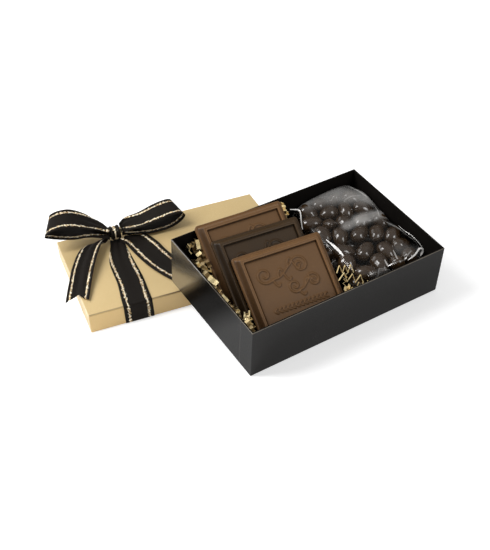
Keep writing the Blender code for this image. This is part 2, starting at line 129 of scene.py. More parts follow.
def awayFromLine(x, y, a, b):
    # Distance in plan from points to the line between a and b, and the share along it
    d = b[:2] - a[:2]
    t = np.clip(((x - a[0]) * d[0] + (y - a[1]) * d[1]) / max(d @ d, 1e-12), 0, 1)
    return np.hypot(x - a[0] - d[0] * t, y - a[1] - d[1] * t), t


def put(slot, value):
    # Links a socket, or writes a number, name or colour
    if isinstance(value, bpy.types.NodeSocket):
        slot.id_data.links.new(value, slot)
    elif slot.type == "RGBA" and len(value) == 3:
        slot.default_value = (*value, 1)
    else:
        slot.default_value = value


def fill(node, values):
    for key, value in values.items():
        put(node.inputs[key], value)


def addNode(tree, kind, values=None, **settings):
    node = tree.nodes.new(kind)
    for key, value in settings.items():
        setattr(node, key, value)
    fill(node, values or {})
    return node


def mathNode(operation, *values):
    tree = next(v.id_data for v in values if isinstance(v, bpy.types.NodeSocket))
    return addNode(tree, "ShaderNodeMath", dict(enumerate(values)), operation=operation).outputs[0]


plus, minus, times, over = (partial(mathNode, name) for name in ("ADD", "SUBTRACT", "MULTIPLY", "DIVIDE"))
least, most, below, above = (partial(mathNode, name) for name in ("MINIMUM", "MAXIMUM", "LESS_THAN", "GREATER_THAN"))
# scaled takes a value, a factor and an offset
scaled, absolute = (partial(mathNode, name) for name in ("MULTIPLY_ADD", "ABSOLUTE"))


def mixColour(share, a, b):
    return addNode(share.id_data, "ShaderNodeMix", {0: share, 6: a, 7: b}, data_type="RGBA").outputs[2]


def ramp(value, stops):
    node = addNode(value.id_data, "ShaderNodeValToRGB", {"Fac": value})
    elements = node.color_ramp.elements
    while len(elements) < len(stops):
        elements.new(0.5)
    for element, (position, colour) in zip(elements, stops):
        element.position = position
        element.color = (*colour, 1)
    return node.outputs["Color"]


def remap(value, fromMin, fromMax, toMin=0.0, toMax=1.0, **settings):
    values = {"Value": value, "From Min": fromMin, "From Max": fromMax, "To Min": toMin, "To Max": toMax}
    return addNode(value.id_data, "ShaderNodeMapRange", values, **settings).outputs["Result"]


def noiseOver(vector, scale, detail, roughness=0.5):
    values = {"Vector": vector, "Scale": scale, "Detail": detail, "Roughness": roughness}
    return addNode(vector.id_data, "ShaderNodeTexNoise", values).outputs["Fac"]


def axesOf(vector):
    return addNode(vector.id_data, "ShaderNodeSeparateXYZ", {"Vector": vector}).outputs[:]


def attributeOf(tree, name):
    return addNode(tree, "ShaderNodeAttribute", attribute_name=name).outputs["Fac"]


def objectSpace(tree, place=None, rotation=(0, 0, 0)):
    # Object coordinates, or those of a piece that was built at the origin and then placed
    location = place.inverted().translation if place else (0, 0, 0)
    coordinates = addNode(tree, "ShaderNodeTexCoord").outputs["Object"]
    values = {"Vector": coordinates, "Location": location, "Rotation": rotation}
    return addNode(tree, "ShaderNodeMapping", values).outputs["Vector"]


def newMaterial(name):
    material = bpy.data.materials.new(name)
    material.use_nodes = True
    return material, material.node_tree, material.node_tree.nodes["Principled BSDF"]


def giveMaterial(nodeName, material):
    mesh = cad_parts[nodeName].data
    mesh.materials.clear()
    mesh.materials.append(material)


def buildGrainGroup():
    # Paper or chocolate grain: a fine and a coarse noise, put out as height and mask
    group = bpy.data.node_groups.new("surfaceGrain", "ShaderNodeTree")
    group.interface.new_socket(name="Vector", in_out="INPUT", socket_type="NodeSocketVector")
    for name, value in (("Fine Scale", 900.0), ("Broad Scale", 40.0), ("Broad Share", 0.5)):
        group.interface.new_socket(name=name, in_out="INPUT", socket_type="NodeSocketFloat").default_value = value
    for name in ("Height", "Mask"):
        group.interface.new_socket(name=name, in_out="OUTPUT", socket_type="NodeSocketFloat")
    enter = addNode(group, "NodeGroupInput").outputs
    fine = noiseOver(enter["Vector"], enter["Fine Scale"], 3.0)
    broad = noiseOver(enter["Vector"], enter["Broad Scale"], 4.0, 0.6)
    addNode(group, "NodeGroupOutput", {"Height": plus(fine, times(broad, enter["Broad Share"])), "Mask": broad})
    return group


grainGroup = buildGrainGroup()


def addGrain(vector, fine, broad, share):
    node = addNode(vector.id_data, "ShaderNodeGroup", node_tree=grainGroup)
    fill(node, {"Vector": vector, "Fine Scale": fine, "Broad Scale": broad, "Broad Share": share})
    return node.outputs["Height"], node.outputs["Mask"]


def addBump(shader, height, strength, distance):
    bump = addNode(height.id_data, "ShaderNodeBump", {"Height": height, "Strength": strength, "Distance": distance})
    put(shader.inputs["Normal"], bump.outputs["Normal"])


blackBoardLook = {
    "colours": ((0.0050, 0.0044, 0.0039), (0.0100, 0.0088, 0.0078)),
    "rim": (0.30, 0.26, 0.21),
    "rimWidth": 0.6 * mm,
    "rimDepth": 0.4 * mm,
    "leftRim": 0.9 * mm,
    "leftWallShade": (0.0020, 0.0016, 0.0013),
    "leftWallShadeShare": 0.6,
    "flap": (0.055, 0.050, 0.045),
    "flapShare": 0.5,
    "flapFromFront": 19.6 * mm,
    "flapLine": 0.5 * mm,
    "skin": 0.3 * mm,      # what lies this near the outline is an outer face
    "lacquer": 0.089,
    "frontReflectionCoat": 0.136,
    "lidSlope": 0.81,
    "lidReflectionBand": (120 * mm, 136 * mm),
    "frontReflectionBand": (56 * mm, 96 * mm),
}


def blackBoardMaterial():
    look = blackBoardLook
    material, tree, shader = newMaterial("glossyBlackBoard")
    vector = objectSpace(tree, trayPlace, (-trayTilt, 0, 0))
    height, mask = addGrain(vector, 700, 22, 1.5)
    x, y, z = axesOf(vector)
    fromEnds = least(x, minus(layout["trayLength"], x))
    fromSides = least(y, minus(layout["trayWidth"], y))
    fromOutline = least(fromEnds, fromSides)
    leftSide = below(x, look["skin"])
    # The folded rim is rubbed pale along its outer line, and most on the left
    paleEdge = times(above(z, layout["trayHeight"] - look["rimDepth"]), below(fromOutline, look["rimWidth"]))
    paleEdge = times(paleEdge, scaled(noiseOver(vector, 60, 3), 1.2, 0.1))
    paleEdge = times(paleEdge, scaled(below(x, look["leftRim"]), 0.45, 0.55))
    colour = mixColour(paleEdge, mixColour(mask, *look["colours"]), look["rim"])
    # The left wall is painted darkest, as painted shade, and the glued corner flap shows through it as a thin upright
    # line
    colour = mixColour(times(leftSide, look["leftWallShadeShare"]), colour, look["leftWallShade"])
    leftFlap = times(mathNode("COMPARE", y, look["flapFromFront"], look["flapLine"]), leftSide)
    colour = mixColour(times(leftFlap, look["flapShare"]), colour, look["flap"])
    # The lacquer is matt inside and thin outside. On the left wall the coat is placed to paint a reflection: thick
    # beside the lid, where the lid shows in it, none below that, and some again towards the front.
    slanting = scaled(z, look["lidSlope"], y)
    lidReflectionBand = remap(slanting, *look["lidReflectionBand"], interpolation_type="SMOOTHSTEP")
    frontReflectionBand = remap(slanting, *look["frontReflectionBand"], look["frontReflectionCoat"], 0.0, interpolation_type="SMOOTHSTEP")
    leftReflectionCoat = times(leftSide, most(lidReflectionBand, frontReflectionBand))
    lacquer = scaled(minus(below(fromOutline, look["skin"]), leftSide), look["lacquer"], leftReflectionCoat)
    fill(shader, {
        "Base Color": colour, "Roughness": scaled(mask, 0.10, 0.20), "Specular IOR Level": 0.006,
        "Specular Tint": (1.0, 0.93, 0.86), "Coat Weight": lacquer, "Coat IOR": 3.5, "Coat Roughness": 0.2,
    })
    addBump(shader, height, 0.12, 0.3 * mm)
    return material


goldBoardLook = {
    "colours": ((0.665, 0.485, 0.225), (0.725, 0.545, 0.27)),
    "speckle": (0.92, 0.76, 0.46),
    "speckleScale": 950,
    "speckleSize": 0.30,
    "speckleShare": 0.30,
    "skin": 0.3 * mm,
    "frontPaintedLight": (0.80, 0.54, 0.22),
    "frontPaintedLightShare": 0.55,
    "edgeHighlight": (0.88, 0.76, 0.52),
    "highlightWidth": 0.8 * mm,
    "paintedCrease": (0.055, 0.028, 0.008),
    "creaseFromFront": 0.6 * mm,
    "creaseReach": 0.9 * mm,
    "creaseDepth": 0.9 * mm,
    "creaseFaintTo": (60 * mm, 90 * mm),
    "leftFold": 1.1 * mm,
    "highlightAwayFromFront": (12 * mm, 50 * mm),
}


def goldBoardMaterial():
    # Matte gold paper with a fine sparkle. Painted shade runs as a dark line where the top folds down in front.
    look = goldBoardLook
    material, tree, shader = newMaterial("speckledGoldBoard")
    vector = objectSpace(tree, lidPlace, (0, 0, -layout["lidTurn"]))
    height, mask = addGrain(vector, 1500, 26, 0.4)
    x, y, z = axesOf(vector)
    speckle = addNode(tree, "ShaderNodeTexVoronoi", {"Vector": vector, "Scale": look["speckleScale"]})
    dots = below(speckle.outputs["Distance"], look["speckleSize"])
    colour = mixColour(times(dots, look["speckleShare"]), mixColour(mask, *look["colours"]), look["speckle"])
    broken = noiseOver(vector, 45, 3)
    # Painted shade: a dark line along the fold at the top's front edge, fainter towards the left
    nearFold = minus(2.3, over(absolute(minus(y, look["creaseFromFront"])), look["creaseReach"]))
    onTop = above(z, layout["lidHeight"] - look["creaseDepth"])
    paintedCrease = times(times(nearFold, onTop), scaled(broken, 1.3, 0.1))
    paintedCrease = addNode(tree, "ShaderNodeClamp", {"Value": paintedCrease}).outputs[0]
    colour = mixColour(times(paintedCrease, remap(x, *look["creaseFaintTo"], 0.55, 1.0)), colour, look["paintedCrease"])
    # The left fold and the front corner carry a painted highlight
    leftFold = times(remap(y, *look["highlightAwayFromFront"], 1.0, 0.12), below(x, look["leftFold"]))
    leftFold = times(leftFold, above(z, layout["lidHeight"] - look["highlightWidth"]))
    frontCorner = times(below(x, look["highlightWidth"]), below(y, look["highlightWidth"]))
    paleEdge = times(most(leftFold, frontCorner), scaled(broken, 0.9, 0.3))
    colour = mixColour(paleEdge, colour, look["edgeHighlight"])
    # Painted light: the front side is painted a brighter, deeper gold
    colour = mixColour(times(below(y, look["skin"]), look["frontPaintedLightShare"]), colour, look["frontPaintedLight"])
    fill(shader, {
        "Base Color": colour, "Metallic": scaled(dots, 0.25, 0.14), "Roughness": scaled(mask, 0.14, 0.34),
    })
    addBump(shader, height, 0.3, 0.25 * mm)
    return material


ribbonLook = {
    "blacks": ((0.0045, 0.0034, 0.0027), (0.0100, 0.0078, 0.0062)),
    "stripeGlintRamp": (
        (0.40, (0.07, 0.03, 0.008)), (0.455, (0.55, 0.31, 0.10)), (0.50, (1.0, 0.75, 0.36)), (0.54, (1.0, 0.96, 0.80)),
    ),
    "stripeFromMiddle": 0.335,      # these are shares of the ribbon's width
    "stripeHalf": 0.036,
    "stripeStray": 0.17,
    "ribs": 230,
}


def ribbonMaterial():
    # U runs along the ribbon and V across it, both in ribbon widths
    look = ribbonLook
    material, tree, shader = newMaterial("stripedGrosgrain")
    uv = addNode(tree, "ShaderNodeUVMap", uv_map="UVMap").outputs["UV"]
    u, v = axesOf(uv)[:2]
    stray = scaled(noiseOver(uv, 13, 2), look["stripeStray"], -look["stripeStray"] / 2)
    fromLine = absolute(plus(minus(absolute(minus(v, 0.5)), look["stripeFromMiddle"]), stray))
    stripe = below(fromLine, look["stripeHalf"])
    # The stripe is a flat metallic yarn, gathered into small folds. Their light is painted: the ramp runs from painted
    # shade in dark gold to painted highlights in white.
    yarn = addNode(tree, "ShaderNodeCombineXYZ", {"X": times(u, 15.0), "Y": times(v, 20.0)}).outputs["Vector"]
    folds = noiseOver(yarn, 1, 2, 0.65)
    black = mixColour(noiseOver(uv, 60, 2), *look["blacks"])
    fill(shader, {
        "Base Color": mixColour(stripe, black, ramp(folds, look["stripeGlintRamp"])), "Metallic": times(stripe, 0.2),
        "Roughness": scaled(stripe, -0.30, 0.66), "Specular IOR Level": 0.15, "Specular Tint": (1.0, 0.9, 0.8),
    })
    ribs = times(mathNode("SINE", times(u, look["ribs"])), 0.3)
    addBump(shader, plus(ribs, times(times(folds, stripe), 4.0)), 0.55, 0.3 * mm)
    return material


chocolateLooks = {
    "milkChocolate": ((0.130, 0.065, 0.0240), (0.166, 0.0855, 0.0335)),
    "darkChocolate": ((0.038, 0.0205, 0.0072), (0.051, 0.0285, 0.0108)),
    "bloom": (1.7, 1.7, 1.8),       # these three are shares of the colours above
    "paintedShade": (0.22, 0.2, 0.2),
    "ridge": (1.9, 1.95, 2.1),
    "bloomShare": 0.16,
    "paintedShadeShare": 0.85,
    "highlightShare": 0.6,
}


def chocolateMaterial(name):
    # Moulded chocolate: satin, with a faint bloom and small knocks. Painted shade darkens the grooves and the left
    # bevel, and painted highlights lighten the rims and the relief's tops.
    look = chocolateLooks
    low, high = look[name]
    bloomed, shadeColour, highlightColour = (
        tuple(a * b for a, b in zip(colour, look[key]))
        for colour, key in ((high, "bloom"), (low, "paintedShade"), (high, "ridge"))
    )
    material, tree, shader = newMaterial(name)
    vector = objectSpace(tree)
    height, mask = addGrain(vector, 420, 55, 1.2)
    pale = remap(noiseOver(vector, 130, 5, 0.7), 0.56, 0.80)
    colour = mixColour(times(pale, look["bloomShare"]), mixColour(mask, low, high), bloomed)
    # Painted shade from the groove attribute
    colour = mixColour(times(attributeOf(tree, "paintedShade"), look["paintedShadeShare"]), colour, shadeColour)
    # Painted highlights from the ridge attribute
    colour = mixColour(times(attributeOf(tree, "ridge"), look["highlightShare"]), colour, highlightColour)
    fill(shader, {"Base Color": colour, "Roughness": scaled(mask, 0.20, 0.36), "Specular IOR Level": 0.25})
    addBump(shader, height, 0.15, 0.3 * mm)
    return material


coatingLook = {"colours": ((0.027, 0.0150, 0.0065), (0.072, 0.041, 0.0195)), "coat": 0.9, "coatRoughness": 0.06}


def coatingMaterial():
    material, tree, shader = newMaterial("darkAlmondCoating")
    mask = addGrain(objectSpace(tree), 260, 70, 1.0)[1]
    fill(shader, {
        "Base Color": mixColour(mask, *coatingLook["colours"]), "Roughness": scaled(mask, 0.10, 0.14),
        "Coat Weight": coatingLook["coat"], "Coat Roughness": coatingLook["coatRoughness"],
    })
    addBump(shader, mask, 0.2, 0.4 * mm)
    return material


shredLook = {"bright": ((1.0, 0.72, 0.29), (1.0, 0.89, 0.55)), "shadeBrown": (0.105, 0.045, 0.008)}


def shredMaterial():
    # The tone attribute is painted light: 0 paints the strip in shade in dark brown, 1 gives the bright face
    material, tree, shader = newMaterial("metallicGoldShred")
    height, mask = addGrain(objectSpace(tree), 900, 90, 1.0)
    paintedLight = attributeOf(tree, "paintedLight")
    fill(shader, {
        "Base Color": mixColour(paintedLight, shredLook["shadeBrown"], mixColour(mask, *shredLook["bright"])),
        "Metallic": scaled(paintedLight, -0.5, 0.7), "Roughness": scaled(mask, 0.15, 0.22),
    })
    addBump(shader, height, 0.2, 0.3 * mm)
    return material


filmLook = {"colour": (0.95, 0.93, 0.90), "shine": 0.6, "veil": 0.34, "leastVeil": 0.004, "glintLines": 0.78}


def filmMaterial():
    # Clear film: mirror-like but mostly see-through. The haze attribute makes it milky in places and also stands in for
    # glare, a painted reflection; the crease attribute paints white highlight lines.
    look = filmLook
    material, tree, shader = newMaterial("clearCrinkledFilm")
    cloud = noiseOver(objectSpace(tree), 42, 3, 0.55)
    paintedCrease = attributeOf(tree, "paintedCrease")
    misty = times(attributeOf(tree, "hazeAndGlare"), scaled(cloud, 1.1, 0.3))
    fresnel = addNode(tree, "ShaderNodeFresnel", {"IOR": 1.38}).outputs["Fac"]
    veiled = plus(times(fresnel, look["shine"]), scaled(misty, look["veil"], look["leastVeil"]))
    fill(shader, {
        "Base Color": look["colour"], "Metallic": minus(1.0, most(times(misty, 0.9), paintedCrease)),
        "Roughness": scaled(misty, 0.35, 0.10), "Alpha": plus(veiled, times(paintedCrease, look["glintLines"])),
    })
    addBump(shader, cloud, 0.08, 0.8 * mm)
    return material


finishes = {
    "ribbon": ribbonMaterial(),
    "milk": chocolateMaterial("milkChocolate"),
    "dark": chocolateMaterial("darkChocolate"),
    "coating": coatingMaterial(),
    "shred": shredMaterial(),
    "film": filmMaterial(),
}
giveMaterial("lid_board", goldBoardMaterial())
giveMaterial("tray_board", blackBoardMaterial())
print("materials made")


view = {
    "eye": (-0.40449, -0.76142, 0.5930),
    "right": (0.8382, -0.5416, -0.0637),
    "up": (0.3456, 0.4372, 0.8303),
    "back": (-0.4219, -0.7180, 0.5536),
    "lens": 64.47,
    "shift": (-0.02555, -0.02427),
}


def makeCamera():
    data = bpy.data.cameras.new("camera")
    data.sensor_fit = "AUTO"
    data.sensor_width = 36
    data.lens = view["lens"]
    data.shift_x, data.shift_y = view["shift"]
    data.clip_start, data.clip_end = 0.01, 20
    camera = linkObject("camera", data)
    up, back = (Vector(view[key]).normalized() for key in ("up", "back"))
    right = up.cross(back).normalized()
    up = back.cross(right).normalized()
    camera.matrix_world = Matrix.Translation(view["eye"]) @ Matrix((right, up, back)).transposed().to_4x4()
    bpy.context.scene.camera = camera


lights = {
    "left": {"place": (-0.86, 0.30, 1.02), "wide": 0.46, "tall": 1.04, "power": 15.0},
    "front": {"place": (0.46, -1.18, 0.78), "wide": 0.40, "tall": 0.80, "power": 6.0},
    "back": {"place": (-0.45, 1.25, 1.05), "wide": 0.9, "tall": 0.9, "power": 7.0},
}

studio = {
    "floorReach": 4.0,
    "floorDrop": 0.4 * mm,
    "floorGreys": ((0.80, 0.80, 0.80), (0.82, 0.82, 0.82)),
    "glowReach": (0.45, 2.0),
    "glow": (0.47, 0.76),
    "worldLight": 0.32,
    "lookAt": (0, 0, 0.04),
}


def seenStraight(tree, *rays):
    # 1 where the camera, a mirror or glass sees a surface, and 0 where it lights another
    path = addNode(tree, "ShaderNodeLightPath").outputs
    seen = path["Is Camera Ray"]
    for ray in rays:
        seen = most(seen, path[ray])
    return seen


def makeFloor():
    reach = studio["floorReach"]
    points = [(-reach, -reach, 0), (reach, -reach, 0), (reach, reach, 0), (-reach, reach, 0)]
    material, tree, shader = newMaterial("paleFloor")
    floor = makePiece("studioFloor", points, [(0, 1, 2, 3)], material=material)
    floor.location.z = -studio["floorDrop"]
    speck = addNode(tree, "ShaderNodeTexNoise", {"Scale": 3.0}).outputs["Fac"]
    place = addNode(tree, "ShaderNodeTexCoord").outputs["Object"]
    away = addNode(tree, "ShaderNodeVectorMath", {0: place}, operation="LENGTH").outputs["Value"]
    glow = remap(away, *studio["glowReach"], *studio["glow"])
    seen = seenStraight(tree, "Is Glossy Ray", "Is Transmission Ray")
    fill(shader, {
        "Base Color": mixColour(speck, *studio["floorGreys"]), "Roughness": 0.9, "Specular IOR Level": 0.2,
        "Emission Color": (1, 1, 1), "Emission Strength": times(seen, glow),
    })


def makeStudio():
    makeFloor()
    for name, look in lights.items():
        data = bpy.data.lights.new(name + "Light", "AREA")
        data.shape = "RECTANGLE"
        data.size, data.size_y = look["wide"], look["tall"]
        data.energy = look["power"]
        lamp = linkObject(name + "Light", data)
        lamp.location = look["place"]
        lamp.rotation_euler = (Vector(studio["lookAt"]) - Vector(look["place"])).to_track_quat("-Z", "Y").to_euler()
    world = bpy.data.worlds.new("softStudio")
    bpy.context.scene.world = world
    world.use_nodes = True
    seen = seenStraight(world.node_tree, "Is Transmission Ray")
    strength = scaled(seen, 1 - studio["worldLight"], studio["worldLight"])
    fill(world.node_tree.nodes["Background"], {"Color": (1, 1, 1), "Strength": strength})
    bpy.context.scene.view_settings.view_transform = "Standard"


makeCamera()
makeStudio()
print("camera, floor and light made")


ribbonSizes = {
    "width": 30 * mm,
    "thickness": 0.5 * mm,
    "knotFromLeft": 61.5 * mm,
    "knotFromFront": 127 * mm,
    "knotRise": 10 * mm,
    "knotHalf": (5.2 * mm, 8 * mm, 6.6 * mm),
    "knotFlat": (10.5 * mm, 47 * mm),
    "knotGrid": (17, 48),
    "knotWinds": 1.7,
    "knotStripe": (0.185, 0.155),       # middle and half spread across the ribbon, so that one stripe runs round
    "bowReach": 80 * mm,
    "bandFromLeft": 51 * mm,
    "bandBend": 1 * mm,
    "behindKnot": 9 * mm,
    "tailNotch": 10 * mm,
    "acrossSteps": 18,
    "pleats": 2.5,
    "pleatDepth": 2.2 * mm,
}
knotCentre = Vector((
    ribbonSizes["knotFromLeft"], ribbonSizes["knotFromFront"], layout["lidHeight"] + ribbonSizes["knotRise"],
))

# Right, back, up as shares of the bow's reach, then plan turn, roll and width share
bowStations = {
    "rightLoop": (
        (0.09, 0.0, 0.04, 0, 0, 0.45), (0.19, 0.05, 0.05, 2, 2, 0.85), (0.38, 0.06, 0.06, 8, 6, 0.95),
        (0.6, 0.06, 0.11, 5, 9, 1.0), (0.78, 0.06, 0.14, -5, 8, 1.0), (0.9, 0.06, 0.14, -10, 8, 1.0),
        (0.95, 0.07, 0.08, -12, 8, 1.0), (0.88, 0.07, 0.0, -12, 6, 1.0), (0.74, 0.06, -0.06, -8, 3, 1.0),
        (0.53, 0.06, -0.08, 0, 0, 1.0), (0.33, 0.05, -0.05, 3, 0, 0.9), (0.09, 0.0, -0.02, 0, 0, 0.45),
    ),
    "leftLoop": (
        (-0.09, 0.0, 0.04, 0, 0, 0.45), (-0.15, 0.07, 0.09, 4, 3, 0.75), (-0.24, 0.12, 0.13, 7, 2, 0.88),
        (-0.36, 0.15, 0.195, 8, 11, 0.95), (-0.54, 0.18, 0.27, 11, 13, 1.0), (-0.69, 0.19, 0.285, 8, 12, 1.0),
        (-0.81, 0.19, 0.265, 11, 9, 1.0), (-0.87, 0.19, 0.21, 22, 10, 1.0), (-0.83, 0.2, 0.16, 18, 7, 1.0),
        (-0.7, 0.19, 0.1, 10, 4, 1.0), (-0.52, 0.16, 0.06, 8, 2, 1.0), (-0.39, 0.14, 0.05, 6, 0, 0.95),
        (-0.26, 0.1, 0.03, 4, 0, 0.85), (-0.09, 0.0, -0.02, 0, 0, 0.45),
    ),
    "leftTail": (
        (-0.1, -0.02, -0.07, 40, 0, 0.62), (-0.23, -0.05, -0.045, 70, 4, 0.76),
        (-0.385, -0.19, -0.015, 94, 4, 0.8), (-0.565, -0.55, -0.025, 98, 2, 0.82),
        (-0.705, -0.9, -0.07, 105, 1, 0.8), (-0.82, -1.2, -0.125, 118, 10, 0.86),
    ),
    "rightTail": (
        (0.1, -0.07, -0.07, 60, 0, 0.45), (0.23, -0.13, -0.09, 60, 3, 0.86), (0.31, -0.38, -0.1, 78, 3, 1.0),
        (0.36, -0.63, -0.105, 74, 2, 1.0), (0.43, -0.89, -0.105, 70, 1, 1.0), (0.53, -1.14, -0.11, 63, 0, 1.0),
        (0.66, -1.4, -0.11, 60, 0, 1.0),
    ),
}

# From the lid's front to the knot, and from the knot to the lid's back: share of the way over to the knot, width share
bandRows = ((0.0, 1.0), (0.35, 0.92), (0.45, 0.84), (1.0, 0.46))
backBandRows = ((1.0, 0.45), (0.7, 0.6), (0.3, 0.8))


def bowPoint(stations, along, across):
    right, back, up, turn, roll, width = smoothValue(stations, (len(stations) - 1) * along)
    turn, roll = math.radians(turn), math.radians(roll)
    side = Vector((math.sin(turn) * math.cos(roll), math.cos(turn) * math.cos(roll), math.sin(roll)))
    centre = knotCentre + Vector((right, back, up)) * ribbonSizes["bowReach"]
    return centre + side * (across * width * ribbonSizes["width"] / 2), width


def giveWall(strip, offset):
    wall = strip.modifiers.new("wall", "SOLIDIFY")
    wall.thickness = ribbonSizes["thickness"]
    wall.offset = offset


def ribbonStrip(name, replaced, held, pointAt, steps, length, notch=0.0, keep=0.0, pleat=1.0):
    # A strip over a grid of along 0..1 and across -1..1. Where it is drawn narrow it is pleated, and its texture is
    # cropped as though one edge or both were folded under: keep is -1 where the front edge still shows, 0 where neither
    # does and None where both do.
    across = 2 * np.arange(ribbonSizes["acrossSteps"] + 1) / ribbonSizes["acrossSteps"] - 1
    grid = np.zeros((steps + 1, len(across), 3))
    narrow = np.zeros((steps + 1, len(across)))
    for i in range(steps + 1):
        for j, side in enumerate(across):
            grid[i, j], share = pointAt(i / steps * (1 - notch / length * (1 - abs(side))), side)
            narrow[i, j] = max(1 - share, 0)
    normal = np.cross(np.gradient(grid, axis=0), np.gradient(grid, axis=1))
    normal /= np.maximum(np.linalg.norm(normal, axis=2, keepdims=True), 1e-12)
    wave = np.sin(across * math.pi * ribbonSizes["pleats"]) * ribbonSizes["pleatDepth"]
    grid += normal * (wave * pleat * np.clip(narrow * 1.8, 0, 1))[:, :, None]
    middle = grid[:, ribbonSizes["acrossSteps"] // 2]
    travelled = np.concatenate([[0], np.cumsum(np.linalg.norm(np.diff(middle, axis=0), axis=1))])
    u = np.broadcast_to(travelled[:, None] / ribbonSizes["width"], narrow.shape)
    shown = 1 - 1.1 * np.clip(narrow, 0, 0.6)
    v = across / 2 + 0.5 if keep is None else 0.5 + 0.5 * keep * (1 - shown) + across / 2 * shown
    uvs = np.stack([u, np.broadcast_to(v, narrow.shape)], -1).reshape(-1, 2)
    strip = makePiece(name, grid.reshape(-1, 3), gridFaces(*narrow.shape), lidPlace, finishes["ribbon"], uvs)
    giveWall(strip, 0)
    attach(strip, "lid")
    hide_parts(replaced)


def makeBow():
    loop = {"keep": -1}
    tail = {"keep": None, "pleat": 0.6, "notch": ribbonSizes["tailNotch"]}
    for key, replaced, held, steps, looks in (
        ("rightLoop", "bow_right_loop", "folded", 70, loop),
        ("leftLoop", "bow_left_loop", "folded", 76, loop),
        ("leftTail", "bow_left_tail", "laid", 60, tail),
        ("rightTail", "bow_right_tail", "laid", 60, tail),
    ):
        stations = bowStations[key]
        middles = [bowPoint(stations, k / 60, 0)[0] for k in range(61)]
        length = sum((b - a).length for a, b in zip(middles, middles[1:]))
        ribbonStrip(key + "Ribbon", replaced, held, partial(bowPoint, stations), steps, length, **looks)


def makeBand():
    thickness, bend = ribbonSizes["thickness"], ribbonSizes["bandBend"]
    onTop = layout["lidHeight"] + layout["seatGap"] + thickness / 2
    inFront = -layout["seatGap"] - thickness / 2
    drop = onTop - thickness / 2
    run = ribbonSizes["knotFromFront"] - inFront
    behind = ribbonSizes["knotFromFront"] + ribbonSizes["behindKnot"]
    backRun = layout["lidWidth"] - inFront - behind

    def sideways(rows, share, across):
        aside, width = smoothValue(rows, share * (len(rows) - 1))
        middle = ribbonSizes["bandFromLeft"] + (ribbonSizes["knotFromLeft"] - ribbonSizes["bandFromLeft"]) * aside
        return middle + across * width * ribbonSizes["width"] / 2, width

    def frontPoint(along, across):
        # Up the lid's front and over its edge to the knot
        travelled = along * (drop + run)
        gone = max(travelled - drop, 0)
        x, width = sideways(bandRows, gone / run, across)
        if abs(travelled - drop) < bend:
            angle = (travelled - drop + bend) / (2 * bend) * math.pi / 2
            y, z = inFront + bend * (1 - math.cos(angle)), onTop - bend * (1 - math.sin(angle))
        elif travelled < drop:
            y, z = inFront, thickness / 2 + travelled
        else:
            y, z = inFront + gone, onTop
        return Vector((x, y, z)), width

    def backPoint(along, across):
        # From the knot to the lid's back edge and down
        travelled = along * (drop + backRun)
        gone = min(travelled, backRun)
        x, width = sideways(backBandRows, gone / backRun, across)
        return Vector((x, behind + gone, onTop - max(travelled - backRun, 0))), width

    ribbonStrip("bandRibbon", "ribbon_band", "laid", frontPoint, 110, drop + run, pleat=0.25)
    ribbonStrip("backRibbon", "ribbon_back_strand", "laid", backPoint, 60, drop + backRun)


def makeKnot():
    # A short strip wound round the bow's middle: rings across, squeezed at its waist
    rows, columns = ribbonSizes["knotGrid"]
    stripe, spread = ribbonSizes["knotStripe"]
    half = ribbonSizes["knotHalf"]
    points, uvs = [], []
    for across in np.linspace(-1, 1, rows):
        swell = 1 - 0.10 * (1 - across**2) + 0.05 * math.cos(across * 9)
        for j in range(columns):
            angle = 2 * math.pi * j / columns
            cosine, sine = math.cos(angle), math.sin(angle)
            reach = (abs(cosine) ** 3 + abs(sine) ** 3) ** (-1 / 3) * swell
            points.append(knotCentre + Vector((across * half[0], cosine * reach * half[1], sine * reach * half[2])))
            uvs.append((j / columns * ribbonSizes["knotWinds"], stripe + across * spread))
    knot = makePiece("knotRibbon", points, gridFaces(rows, columns, closed=True), lidPlace, finishes["ribbon"], uvs)
    giveWall(knot, -1)
    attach(knot, "lid")
    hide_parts("bow_knot")


makeBow()
makeBand()
makeKnot()
print("ribbon and bow made")


barSizes = {
    "length": 96 * mm,
    "height": 86 * mm,
    "base": 4 * mm,
    "rise": 6.5 * mm,
    "flange": 2 * mm,
    "slope": 3.8 * mm,
    "frame": 2.6 * mm,
    "step": 0.5 * mm,
    "panelDepth": 2.1 * mm,
    "corner": 3 * mm,
    "edge": 0.9 * mm,
    "frameRound": 0.25 * mm,
    "grooveDepth": 0.7 * mm,
    "grooveWidth": 1.3 * mm,
    "reliefHeight": 1 * mm,
    "reliefStep": 0.65 * mm,
    "ringSteps": 6,
    "panelLift": 0.03 * mm,
    "panelEdgeSink": 0.12 * mm,
    "fromLeft": 24 * mm,
    "turn": math.radians(-4.7),
    "lean": math.radians(57.031),
    "reach": 82.693 * mm,
    "stagger": 23.696 * mm,
    "pitch": 10.9 * mm,
    # Back, middle and front bar: how each stands apart from an even stack
    "shift": (0.02, 0.115, 0.15),
    "roll": (0.0, -1.2, 2.4),
    "askew": (0.0, 0.5, -4.0),
    "aside": (0.0, -4.6 * mm, 0.0),
    "upward": (0.5 * mm, 2.2 * mm, 0.9 * mm),
    "outward": (0.0, 0.0, 1.8 * mm),
}


